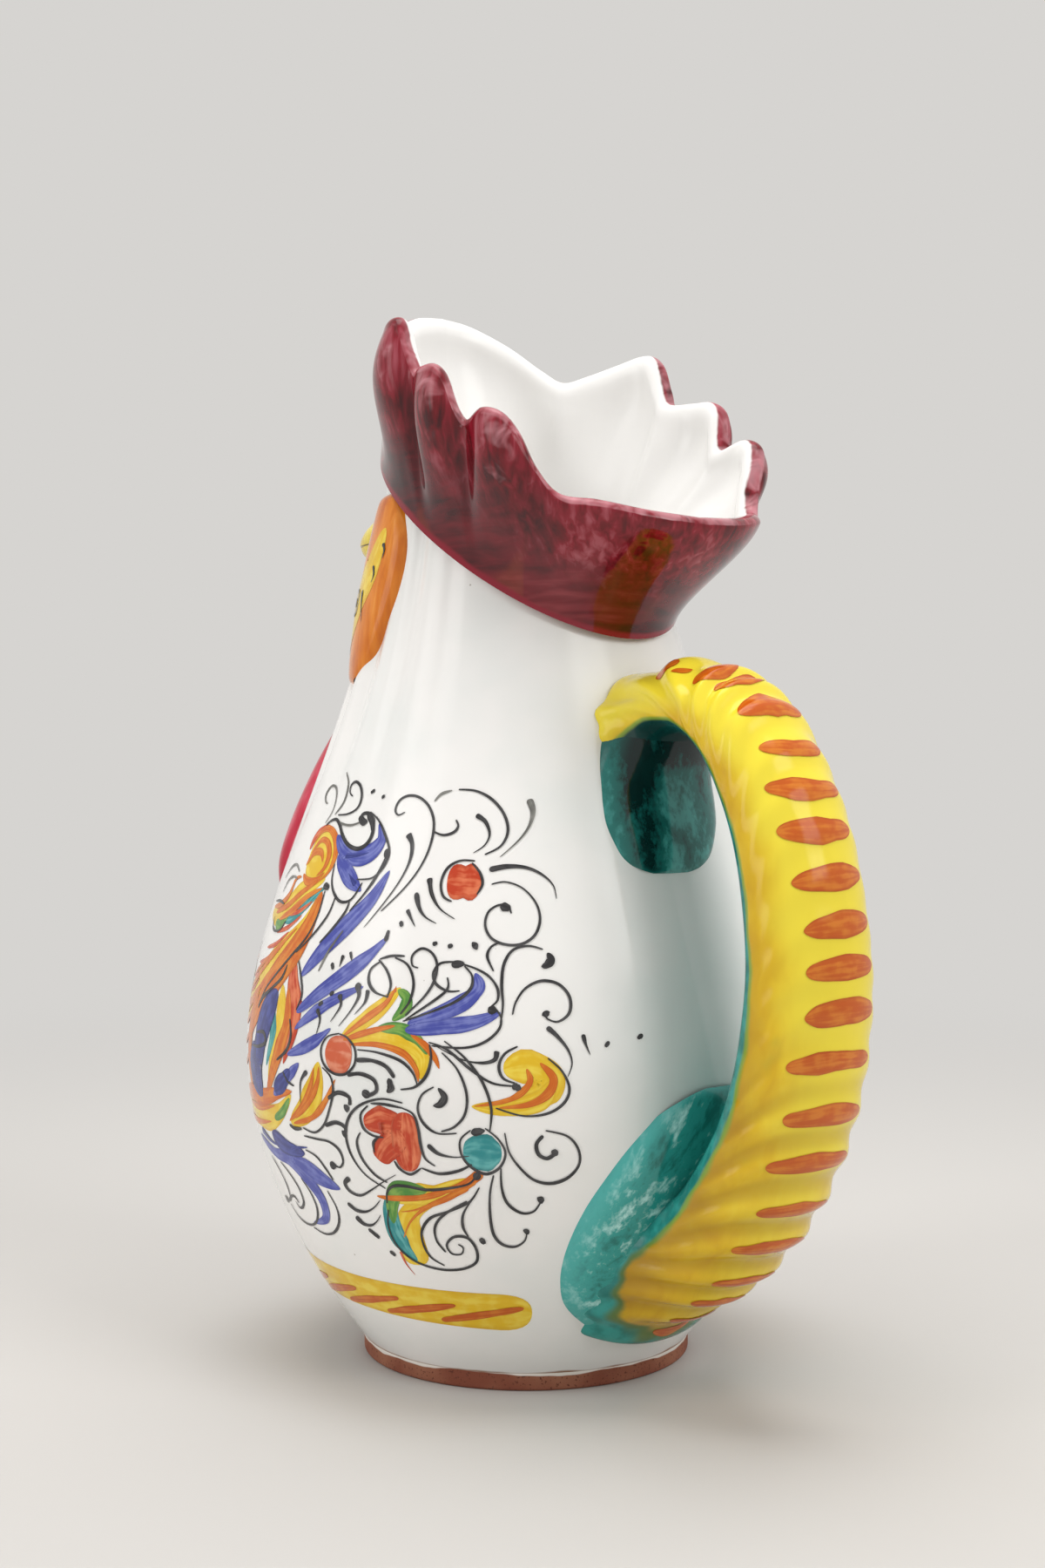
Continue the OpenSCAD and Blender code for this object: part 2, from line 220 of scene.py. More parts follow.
class Recipe:
    """Nodes of one material or world while it is mixed."""

    def __init__(self, name: str, shelf: str = "materials") -> None:
        """Starts a blank material, or a blank world if the shelf is "worlds".

        Args:
            name: Name of the material or world.
            shelf: Blender's collection that holds it.
        """
        self.owner = getattr(bpy.data, shelf).new(name)
        self.owner.use_nodes = True
        self.tree = self.owner.node_tree
        self.tree.nodes.clear()

    @cached_property
    def place(self) -> Socket:
        """Coordinates of the object, in metres."""
        return self.add("TexCoord", output="Object")

    def add(
        self,
        kind: str,
        inputs: dict[Any, Any] | Sequence[Any] = (),
        output: int | str = 0,
        stops: Sequence[tuple[float, str]] = (),
        **settings: Any,
    ) -> Socket:
        """Adds a node with its settings and its links.

        Args:
            kind: Blender's name of the node type, without the words that all of them share.
            inputs: A value, a hex colour or a socket to link, for each input in order or by name or number.
            output: Name or number of the output to give back.
            stops: Positions and hex colours of a colour ramp.
            **settings: Properties of the node.

        Returns:
            The chosen output socket.
        """
        node = self.tree.nodes.new(f"ShaderNode{kind}")
        for key, value in settings.items():
            setattr(node, key, value)
        for number, (position, colour) in enumerate(stops):
            elements = node.color_ramp.elements
            element = elements[number] if number < 2 else elements.new(position)
            element.position, element.color = position, linear_colour(colour)
        for key, value in inputs.items() if isinstance(inputs, dict) else enumerate(inputs):
            if isinstance(value, Socket):
                self.tree.links.new(value, node.inputs[key])
            else:
                node.inputs[key].default_value = linear_colour(value) if isinstance(value, str) else value
        return node.outputs[output] if len(node.outputs) else node.inputs[0]

    def over(
        self, under: Colour, top: Colour, value: Socket, low: float, high: float, cover: float = 1.0
    ) -> Socket:
        """Lays one colour over another where a pattern passes from one value to a second.

        Args:
            under: Colour that lies under.
            top: Colour that covers it.
            value: The pattern.
            low: Value where the cover starts.
            high: Value where it is full.
            cover: How much the full cover hides.

        Returns:
            The resulting colour.
        """
        share = self.add("MapRange", [value, low, high, 0.0, cover], interpolation_type="SMOOTHSTEP")
        return self.add("Mix", {0: share, 6: under, 7: top}, 2, data_type="RGBA")


@dataclass(frozen=True)
class BrushMarks:
    """Pattern that a loaded brush leaves: long hairs' streaks, and slow clouds of thick and thin colour."""

    streak_mm: float
    draw: tuple[float, float, float]
    cloud_mm: float
    streak_share: float
    reach: float

    def lay(self, m: Recipe) -> tuple[Socket, Socket]:
        """Depth of colour from 0, pooled, to 1, dry, and the streaks alone.

        Args:
            m: The material's nodes.

        Returns:
            Both patterns, the depth first.
        """
        drawn = m.add("Mapping", {"Vector": m.place, "Scale": self.draw})
        hairs = {"Vector": drawn, "Scale": per_size(self.streak_mm), "Detail": 2.0, "Distortion": 0.5}
        streak = m.add("TexNoise", hairs, "Fac")
        cloud = m.add("TexNoise", {"Vector": m.place, "Scale": per_size(self.cloud_mm), "Detail": 2.0}, "Fac")
        both = m.add("Mix", {0: self.streak_share, 2: cloud, 3: streak}, data_type="FLOAT")
        return m.add("MapRange", [both, 0.5 - self.reach, 0.5 + self.reach]), streak


@dataclass(frozen=True)
class Glaze:
    """Glass-like surface that every fired and painted part of the pitcher shares.

    Tin glaze is thick and melts smooth, so it mirrors the room softly: an index of 1.48, a little
    unevenness from the dip, and hardly any roughness.
    """

    ior: float = 1.48
    smooth: float = 0.05
    dull: float = 0.12
    dip_wave_mm: float = 13.0
    dip_depth_mm: float = 0.22
    handling_mm: float = 26.0
    bump: float = 0.6

    def close(
        self, m: Recipe, colour: Socket, relief: Socket | None = None, relief_mm: float = 0.03
    ) -> Material:
        """Ends a material with the glaze's own shader.

        Args:
            m: The material's nodes.
            colour: Colour under the glaze.
            relief: Height of brushwork that shows in the glaze, from 0 to 1.
            relief_mm: Depth of that brushwork.

        Returns:
            The finished material.
        """
        dip = {"Vector": m.place, "Scale": per_size(self.dip_wave_mm), "Detail": 1.5}
        wave = m.add("TexNoise", dip, "Fac")
        normal = m.add("Bump", {"Height": wave, "Distance": self.dip_depth_mm * MM, "Strength": self.bump})
        if relief is not None:
            marks = {"Height": relief, "Distance": relief_mm * MM, "Strength": self.bump, "Normal": normal}
            normal = m.add("Bump", marks)
        hands = {"Vector": m.place, "Scale": per_size(self.handling_mm), "Detail": 2.0}
        touched = m.add("TexNoise", hands, "Fac")
        roughness = m.add("MapRange", [touched, 0.35, 0.65, self.smooth, self.dull])
        skin = {"Base Color": colour, "Roughness": roughness, "IOR": self.ior, "Normal": normal}
        m.add("OutputMaterial", [m.add("BsdfPrincipled", skin)])
        return m.owner


GLAZE = Glaze()


@dataclass(frozen=True)
class TinGlaze:
    """Opaque white tin glaze, dipped and fired.

    It gives the eye a soft, faintly warm white with cooler clouds where the dip ran thin, a few pinholes
    left by gas, and a brown line where it thins out above the foot.
    """

    name: str = "white tin glaze, dipped and fired"
    thick: str = "#F3F1EE"
    thin: str = "#EBECE9"
    cloud_mm: float = 34.0
    pinhole: str = "#9C9486"
    pinhole_gap_mm: float = 9.0
    speck_mm: float = 0.35
    lip: str = "#9A7458"
    lip_z_mm: float = 3.6
    lip_wave_mm: float = 14.0

    def build(self) -> Material:
        """Makes the material."""
        m = Recipe(self.name)
        cloud = m.add("TexNoise", {"Vector": m.place, "Scale": per_size(self.cloud_mm), "Detail": 3.0}, "Fac")
        colour = m.over(self.thick, self.thin, cloud, 0.4, 0.66)
        gas = m.add("TexVoronoi", {"Vector": m.place, "Scale": per_size(self.pinhole_gap_mm)}, "Distance")
        hole = self.speck_mm / 2 / self.pinhole_gap_mm
        colour = m.over(colour, self.pinhole, gas, hole * 1.6, hole, 0.7)
        ragged = m.add("TexNoise", {"Vector": m.place, "Scale": per_size(self.lip_wave_mm)}, "Fac")
        height = m.add("SeparateXYZ", [m.place], "Z")
        edge = m.add("Math", [ragged, -2.0 * MM, height], operation="MULTIPLY_ADD")
        colour = m.over(colour, self.lip, edge, self.lip_z_mm * MM, (self.lip_z_mm - 0.7) * MM)
        return GLAZE.close(m, colour)


@dataclass(frozen=True)
class BrushedGlaze:
    """Coloured oxide brushed over the raw tin glaze and fired in with it.

    The brush leaves streaks: darker where the colour pooled, and nearly the bare glaze where the hairs
    ran dry or the clay stands proud, so one coat shows four depths of one colour.
    """

    name: str
    pooled: str
    full: str
    worn: str
    dry: str
    marks: BrushMarks
    relief_mm: float = 0.05

    def coat(self, m: Recipe) -> tuple[Socket, Socket]:
        """Colour of the coat, and its streaks."""
        depth, streak = self.marks.lay(m)
        stops = ((0.06, self.pooled), (0.36, self.full), (0.62, self.worn), (0.96, self.dry))
        return m.add("ValToRGB", [depth], "Color", stops), streak

    def build(self) -> Material:
        """Makes the material."""
        m = Recipe(self.name)
        return GLAZE.close(m, *self.coat(m), self.relief_mm)


@dataclass(frozen=True)
class CombGlaze:
    """Maroon brushed up the outside of the comb, white tin glaze inside it.

    The strokes run up the lobes and round the collar, which is darker low down. Between the lobes the colour
    turns nearly black-red, partly pooled and partly painted shade; on the lobes' tops and along the rim it
    turns pink, partly glaze worn thin and partly painted highlight. Orange patches on the collar are a
    painted reflection, and the colour ends in a bright crimson bead at its edge.
    """

    name: str = "maroon oxide brushed over white tin glaze"
    up_marks: BrushMarks = BrushMarks(2.0, (1.0, 1.0, 0.14), 15.0, 0.5, 0.17)
    round_marks: BrushMarks = BrushMarks(2.2, (0.16, 0.16, 1.0), 22.0, 0.46, 0.2)
    lobe: BrushedGlaze = BrushedGlaze("lobe", "#43010A", "#6A0312", "#871426", "#A64C58", up_marks)
    collar: BrushedGlaze = BrushedGlaze("collar", "#330107", "#54030F", "#6C0C1A", "#8E3038", round_marks)
    bead: str = "#880E26"
    # Near black-red between the lobes: partly pooled colour, partly painted shade in the grooves.
    deep: str = "#2E040A"
    # Pink on the lobes' tops and along the rim: partly glaze worn thin, partly painted highlight.
    bare: str = "#CC8C94"
    white: str = "#F3F1EE"
    # Orange patches on the collar: a painted reflection of the yellow tail handle.
    orange_reflection: str = "#8A3E1C"
    patch_mm: float = 17.0
    dab_mm: float = 5.0

    def build(self) -> Material:
        """Makes the material."""
        m = Recipe(self.name)
        names = ("up", "hollow", "wear_and_highlight", "inside")
        up, sunk, proud, inside = (m.add("Attribute", output="Fac", attribute_name=name) for name in names)
        lobe, streak = self.lobe.coat(m)
        cloud = {"Vector": m.place, "Scale": per_size(self.patch_mm), "Detail": 1.0, "Distortion": 0.6}
        patch = m.add("TexNoise", cloud, "Fac")
        # Orange patches over the collar's colour are a painted reflection.
        collar = m.over(self.collar.coat(m)[0], self.orange_reflection, patch, 0.58, 0.72, 0.3)
        level = m.add("Math", [patch, 0.5, up], operation="MULTIPLY_ADD")
        colour = m.over(collar, lobe, level, 0.5, 0.95)
        # Darkens the grooves between the lobes: partly pooled colour, partly painted shade.
        colour = m.over(colour, self.deep, sunk, 0.1, 1.1, 0.45)
        dabs = {"Vector": m.place, "Scale": per_size(self.dab_mm), "Detail": 2.0, "Distortion": 0.8}
        dab = m.add("TexNoise", dabs, "Fac")
        worn = m.add("Math", [dab, 1.2, proud], operation="MULTIPLY_ADD")
        # Pinks the lobes' tops and the rim: partly glaze worn thin, partly painted highlight.
        colour = m.over(colour, self.bare, worn, 1.0, 1.5, 0.7)
        colour = m.over(colour, self.bead, up, 0.07, 0.03)
        ragged = m.add("Math", [dab, 0.14, inside], operation="MULTIPLY_ADD")
        return GLAZE.close(m, m.over(colour, self.white, ragged, 0.56, 0.64), streak)


@dataclass(frozen=True)
class TailGlaze:
    """Yellow brushed along the tail handle, with copper teal on its inner face and round its lower root.

    The yellow is lemon on the back and toward the top, golden on the sides and ochre low down and in the
    ribs'
    valleys: partly the yellow's own tones, partly painted light from above and painted shade. The teal
    darkens near the strap's upper root as painted shade under its arch; where yellow meets teal the two run
    into a green edge.
    """

    name: str = "antimony yellow and copper teal brushed over white tin glaze"
    marks: BrushMarks = BrushMarks(2.8, (1.0, 0.4, 0.3), 20.0, 0.45, 0.22)
    yellow: BrushedGlaze = BrushedGlaze("yellow", "#C8990C", "#D8AC12", "#E2BB1C", "#EACB30", marks)
    lemon: str = "#EFDC3C"
    # Ochre low on the strap and in the ribs' valleys: partly the yellow's own tone, partly painted shade.
    ochre: str = "#A67A0C"
    green: str = "#6F9E3C"
    green_deep: str = "#2B6E42"
    teal: str = "#349A91"
    teal_full: str = "#1B746D"
    # Dark teal near the strap's upper root, under its arch: painted shade.
    teal_arch_shade: str = "#08312F"
    cloud_mm: float = 16.0
    fleck_mm: float = 5.0
    border_mm: float = 11.0

    def build(self) -> Material:
        """Makes the material."""
        m = Recipe(self.name)
        names = ("back", "share", "rib_valley_shade", "teal")
        back, low, rib_valley_shade, inner = (m.add("Attribute", output="Fac", attribute_name=name) for name in names)
        colour, streak = self.yellow.coat(m)
        cloud = m.add("TexNoise", {"Vector": m.place, "Scale": per_size(self.cloud_mm), "Detail": 1.0}, "Fac")
        # Lighter on the back and toward the top, ochre lower down: partly the yellow's own tones, partly
        # painted light from above and painted shade.
        high = m.add("Math", [low, -1.6, back], operation="MULTIPLY_ADD")
        thin = m.add("Math", [cloud, 0.6, high], operation="MULTIPLY_ADD")
        colour = m.over(colour, self.lemon, thin, -0.35, 0.3, 0.9)
        colour = m.over(colour, self.ochre, thin, -0.25, -1.1, 0.75)
        # Ochre in the ribs' valleys on the lower strap: painted shade.
        colour = m.over(colour, self.ochre, rib_valley_shade, 0.2, 1.0, 0.4)
        fleck = m.add("TexNoise", {"Vector": m.place, "Scale": per_size(self.fleck_mm), "Detail": 3.0}, "Fac")
        teal = m.over(self.teal_full, self.teal, fleck, 0.35, 0.65)
        # Dark teal near the strap's upper root: painted shade under its arch.
        teal = m.over(teal, self.teal_arch_shade, low, 0.3, 0.12, 0.92)
        ragged = m.add("TexNoise", {"Vector": m.place, "Scale": per_size(self.border_mm)}, "Fac")
        border = m.add("Math", [ragged, 0.22, inner], operation="MULTIPLY_ADD")
        green = m.over(self.green, self.green_deep, low, 0.8, 0.92)
        colour = m.over(colour, green, border, 0.45, 0.54, 0.85)
        return GLAZE.close(m, m.over(colour, teal, border, 0.54, 0.64), streak)


@dataclass(frozen=True)
class PooledGlaze:
    """Copper teal dabbed on with a full brush.

    It breaks into pale sea-green flecks where it is thin, darkens where it pools, and keeps an even rim.
    One upright band is painted darker, or lighter, than the rest as a painted reflection, and the patch can
    be painted darker toward its top as painted shade under the strap.
    """

    name: str
    dark: str
    full: str
    light: str
    rim: str
    middle: float
    rim_cover: float
    drawn_out: float
    slant_deg: float = 0.0
    fleck_mm: float = 1.6
    pool_mm: float = 9.0
    # An upright band of painted reflection, darker or lighter than the rest.
    reflection_band_x_mm: float = 0.0
    reflection_band_half_mm: float = 6.0
    reflection_band_depth: float = 0.0
    # Painted shade toward the patch's top, under the strap.
    top_shade_z_mm: tuple[float, float] = (0.0, 0.0)
    top_shade_depth: float = 0.0

    def build(self) -> Material:
        """Makes the material."""
        m = Recipe(self.name)
        slant = (0, math.radians(self.slant_deg), 0)
        pull = {"Vector": m.place, "Rotation": slant, "Scale": (1, 1, self.drawn_out)}
        pulled = m.add("Mapping", pull, vector_type="TEXTURE")
        fine = {"Vector": pulled, "Scale": per_size(self.fleck_mm), "Detail": 4.0, "Roughness": 0.65}
        fleck = m.add("TexNoise", fine, "Fac")
        slow = {"Vector": pulled, "Scale": per_size(self.pool_mm), "Detail": 2.0, "Distortion": 0.6}
        depth = m.add("Mix", {0: 0.4, 2: m.add("TexNoise", slow, "Fac"), 3: fleck}, data_type="FLOAT")
        x, z = (m.add("SeparateXYZ", [m.place], axis) for axis in "XZ")
        # Painted shade: darker toward the patch's top, under the strap.
        low, high = (level * MM for level in self.top_shade_z_mm)
        rise = [z, low, high + 1e-6, 0.0, -self.top_shade_depth]
        # Painted reflection: an upright band, darker or lighter than the rest.
        off = m.add("Math", [x, self.reflection_band_x_mm * MM], operation="SUBTRACT")
        off = m.add("Math", [off], operation="ABSOLUTE")
        reach = [off, 0.0, self.reflection_band_half_mm * MM, -self.reflection_band_depth, 0.0]
        for span in (reach, rise):
            shade = m.add("MapRange", span, interpolation_type="SMOOTHSTEP")
            depth = m.add("Math", [depth, shade], operation="ADD")
        depth = m.add("Math", [depth, self.middle - 0.5], operation="ADD")
        stops = ((0.38, self.dark), (0.48, self.full), (0.53, self.full), (0.64, self.light))
        colour = m.add("ValToRGB", [depth], "Color", stops)
        edge = m.add("Attribute", output="Fac", attribute_name="edge")
        return GLAZE.close(m, m.over(colour, self.rim, edge, 0.66, 0.95, self.rim_cover), fleck)


@dataclass(frozen=True)
class FiredClay:
    """Bare red earthenware, turned on the wheel and fired.

    It is matt and gritty: fine rings from the turning tool, sand specks, a paler dusty edge, and a wavy
    run of glaze at its top.
    """

    name: str = "red earthenware, turned and fired bare"
    clay: str = "#7E4431"
    dust: str = "#9E6A50"
    sand: str = "#5E3122"
    glaze_run: str = "#E2DCD3"
    dust_mm: float = 12.0
    grit_mm: float = 0.6
    ring_mm: float = 0.7
    run_z_mm: float = 4.7

    def build(self) -> Material:
        """Makes the material."""
        m = Recipe(self.name)
        level = m.add("Mapping", {"Vector": m.place, "Scale": (0.05, 0.05, 1.0)})
        slow, grit, rings = (
            m.add("TexNoise", {"Vector": vector, "Scale": per_size(size)}, "Fac")
            for vector, size in ((m.place, self.dust_mm), (m.place, self.grit_mm), (level, self.ring_mm))
        )
        colour = m.over(self.clay, self.dust, slow, 0.35, 0.7, 0.7)
        colour = m.over(colour, self.sand, grit, 0.6, 0.68)
        edge = m.add("Math", [slow, 2.4 * MM, m.add("SeparateXYZ", [m.place], "Z")], operation="MULTIPLY_ADD")
        low, high = self.run_z_mm * MM, (self.run_z_mm + 0.3) * MM
        colour = m.over(colour, self.glaze_run, edge, low, high)
        turned = m.add("Bump", {"Height": rings, "Distance": 0.06 * MM, "Strength": 0.6})
        sandy = m.add("Bump", {"Height": grit, "Distance": 0.08 * MM, "Strength": 0.7, "Normal": turned})
        roughness = m.add("MapRange", [edge, low, high, 0.86, 0.2])
        skin = {"Base Color": colour, "Roughness": roughness, "Normal": sandy}
        m.add("OutputMaterial", [m.add("BsdfPrincipled", skin)])
        return m.owner


@dataclass(frozen=True)
class Pigment:
    """One colour of the painter's box, laid in a single wet stroke.

    A wet stroke dries darker along its edges, the hairs leave fine lines along it, and it is paler
    where the brush ran short of colour. Its coat's number lifts it over the colours of lower coats.
    """

    coat: int
    name: str
    full: str
    pale: str
    pooled: str
    wash: float = 0.8
    hair_mm: float = 9.0
    hairs_across: float = 2.4
    cloud_mm: float = 3.0

    def build(self) -> Material:
        """Makes the material."""
        m = Recipe(self.name)
        names = ("run_mm", "across", "seed")
        run, across, seed = (m.add("Attribute", output="Fac", attribute_name=name) for name in names)
        length = m.add("Math", [run, 1 / self.hair_mm], operation="MULTIPLY")
        breadth = m.add("Math", [across, self.hairs_across], operation="MULTIPLY")
        stroke = m.add("CombineXYZ", [length, breadth, seed])
        hairs = m.add("TexNoise", {"Vector": stroke, "Scale": 1.0, "Detail": 3.0}, "Fac")
        cloud = m.add("TexNoise", {"Vector": m.place, "Scale": per_size(self.cloud_mm)}, "Fac")
        load = m.add("Mix", {0: 0.6, 2: cloud, 3: hairs}, data_type="FLOAT")
        colour = m.over(self.full, self.pale, load, 0.42, 0.62, self.wash)
        side = m.add("Math", [across], operation="ABSOLUTE")
        return GLAZE.close(m, m.over(colour, self.pooled, side, 0.72, 1.0, 0.5))


class Paint(Enum):
    """The painter's colours, in the order of their coats."""

    YELLOW = Pigment(0, "antimony yellow painted over tin glaze", "#E4BA1C", "#F1D850", "#CF9C18")
    TEAL = Pigment(1, "copper teal painted over tin glaze", "#27898C", "#6DBBB9", "#136063")
    GREEN = Pigment(2, "copper green painted over tin glaze", "#4E8A3A", "#8DB353", "#2F6633")
    RED = Pigment(3, "red slip painted over tin glaze", "#C03C18", "#E68358", "#9C2E10", 0.9)
    PINK = Pigment(4, "thin red slip wash", "#D0603C", "#E79C7C", "#B5472A")
    ORANGE = Pigment(5, "iron orange painted over tin glaze", "#CE6410", "#E28E2C", "#AC4C0A")
    BLUE = Pigment(6, "cobalt blue painted over tin glaze", "#454DA2", "#7E86C6", "#333A8A")
    NAVY = Pigment(7, "thick cobalt blue", "#2C3378", "#4A55A4", "#1F2458")
    STRIPE = Pigment(8, "red slip stripe brushed across the yellow", "#C0560F", "#D67E24", "#A5420A")
    GREY = Pigment(10, "thin manganese wash", "#64635F", "#9A9993", "#504F4B")
    LINE = Pigment(11, "manganese line painted over tin glaze", "#2B2A2C", "#5E5D5E", "#1E1D1F", 0.6)


# The body's form


@dataclass(frozen=True)
class BodyForm:
    """Outer surface of the thrown belly and the leaning, fluted neck."""

    belly_r: float
    neck_z: float
    foot_r: float
    foot_h: float
    belly_z: float = 72.0
    throat_r: float = 31.0
    throat_z: float = 212.0
    neck_lean: float = 3.0
    wall: float = 5.5
    floor_t: float = 7.0
    flute_h: float = 1.25
    flute_count: int = 20
    flute_rise: float = 45.0
    flute_full: float = 92.0
    flute_end: float = 128.0
    lower_power: float = 1.9
    shoulder_power: float = 0.9
    comb_z: float = 194.0
    comb_tilt: float = 36.0

    @classmethod
    def from_frame(cls) -> "BodyForm":
        """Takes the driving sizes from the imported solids."""
        low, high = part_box("belly")
        foot_low, foot_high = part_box("foot_ring")
        return cls(
            belly_r=(high.x - low.x) / 2 / MM,
            neck_z=high.z / MM,
            foot_r=(foot_high.x - foot_low.x) / 2 / MM,
            foot_h=foot_high.z / MM,
        )

    def radius(self, z: Array) -> Array:
        """Radius of the skin at a height."""
        below = np.clip(1 - (z - self.foot_h) / (self.belly_z - self.foot_h), 0, 1)
        above = np.clip((z - self.belly_z) / (self.throat_z - self.belly_z), 0, 1)
        lower = mix(self.foot_r, self.belly_r, 1 - below**self.lower_power)
        upper = mix(self.throat_r, self.belly_r, (1 + np.cos(np.pi * above**self.shoulder_power)) / 2)
        return np.where(z < self.belly_z, lower, upper)

    def lean(self, z: Array) -> Array:
        """How far the neck's middle has moved toward the beak at a height."""
        return -self.neck_lean * ease((z - self.neck_z) / (self.throat_z - self.neck_z))

    def flute(self, angle: Array, z: Array) -> Array:
        """Depth of the hackle flutes.

        Args:
            angle: Degrees from the beak.
            z: Heights.

        Returns:
            Millimetres below the unfluted skin.
        """
        turn = np.abs((angle + 180) % 360 - 180)
        rise = ease((z - self.neck_z) / self.flute_rise)
        fade = 1 - ease((turn - self.flute_full) / (self.flute_end - self.flute_full))
        return self.flute_h * rise * fade * ((1 - np.cos(np.radians(self.flute_count * angle))) / 2) ** 1.7

    def polar(self, angle: Array, r: Array, z: Array) -> Array:
        """Points at an angle from the beak, a distance from the neck's middle, and a height."""
        turn = np.radians(angle)
        return np.stack(np.broadcast_arrays(r * np.sin(turn), self.lean(z) - r * np.cos(turn), z), -1)

    def place(self, angle: Array, z: Array, lift: Array | float = 0.0) -> Array:
        """Points on the skin, or lifted off it."""
        return self.polar(angle, self.radius(z) - self.flute(angle, z) + lift, z)

    def scale(self, angle: Array, z: Array) -> tuple[Array, Array]:
        """Millimetres on the skin to a degree round it and to a millimetre of height."""
        return np.radians(self.radius(z)), np.ones_like(z)

    def edge_z(self, angle: Array, lift: float) -> Array:
        """Height where the skin, lifted a little, meets the comb's sloping lower plane.

        Args:
            angle: Degrees from the beak.
            lift: Distance off the skin.

        Returns:
            A height for each angle.
        """
        z = np.full_like(angle, self.comb_z)
        for _ in range(14):
            point = self.polar(angle, self.radius(z) + lift, z)
            z = self.comb_z - math.tan(math.radians(self.comb_tilt)) * point[..., 1]
        return z


@dataclass
class GlazedBody:
    """The belly, the neck and the bare foot, each one a turned skin with its inside."""

    form: BodyForm
    belly_columns: int = 288
    neck_columns: int = 576
    belly_rows: int = 90
    neck_rows: int = 110
    inside_rows: int = 40
    foot_w: float = 9.0
    bevel: float = 0.8
    seam: float = 0.02

    def belly(self) -> list[Array]:
        """Points of the belly: its under face, outside, inside and floor."""
        form = self.form
        angle = np.linspace(0, 360, self.belly_columns, endpoint=False)[None, :]
        up = np.linspace(form.foot_h, form.neck_z, self.belly_rows)[:, None]
        up = np.insert(up, -1, form.neck_z - self.seam, axis=0)
        cavity = form.foot_h + form.floor_t
        down = np.linspace(form.neck_z, cavity, self.inside_rows)[:, None]
        outside = form.place(angle, up)
        inside = form.place(angle, down, -form.wall)
        r_under = np.linspace(0.5, form.foot_r, 8, endpoint=False)[:, None]
        r_floor = (form.radius(np.array(cavity)) - form.wall) * np.linspace(1, 0.02, 9)[1:, None]
        under = form.polar(angle, r_under, np.full_like(r_under, form.foot_h))
        floor = form.polar(angle, r_floor, np.full_like(r_floor, cavity))
        return [under, outside, inside, floor]

    def neck(self) -> list[Array]:
        """Points of the neck, up the outside to the comb and back down the inside."""
        form = self.form
        angle = np.linspace(0, 360, self.neck_columns, endpoint=False)[None, :]
        rise = np.insert(np.linspace(0, 1, self.neck_rows), 1, self.seam / form.neck_z)[:, None]
        outside = form.place(angle, mix(form.neck_z, form.edge_z(angle, 0.0) + 0.3, rise))
        fall = np.insert(np.linspace(1, 0, self.inside_rows), 1, 1 - self.seam / form.neck_z)[:, None]
        z = mix(form.neck_z, form.edge_z(angle, -form.wall), fall)
        inside = form.polar(angle, form.radius(z) - form.wall, z)
        return [outside, inside]

    def foot(self) -> list[Array]:
        """Points of the foot ring's turned section."""
        form, b = self.form, self.bevel
        arc = np.radians(np.linspace(-90, 0, 6))
        outer = form.foot_r - b + b * np.cos(arc)
        outer_z = b + b * np.sin(arc)
        inner_r = form.foot_r - self.foot_w
        r = np.concatenate([[inner_r, inner_r, inner_r + b], outer, [form.foot_r]])
        z = np.concatenate([[form.foot_h, b, 0], outer_z, [form.foot_h]])
        angle = np.linspace(0, 360, 192, endpoint=False)[None, :]
        return [form.polar(angle, r[:, None], z[:, None])]

    def build(self, white: Material, clay: Material) -> None:
        """Makes the three pieces.

        Args:
            white: Finish of the belly and the neck.
            clay: Finish of the foot.
        """
        for name, grids, finish, slot, node in (
            ("belly_shell", self.belly(), white, "white_glaze", "belly"),
            ("neck_shell", self.neck(), white, "white_glaze", "neck"),
            ("foot_turned", self.foot(), clay, "bare_clay", "foot_ring"),
        ):
            hand_in(sheets(name, grids, True), finish, slot, node)


# The comb


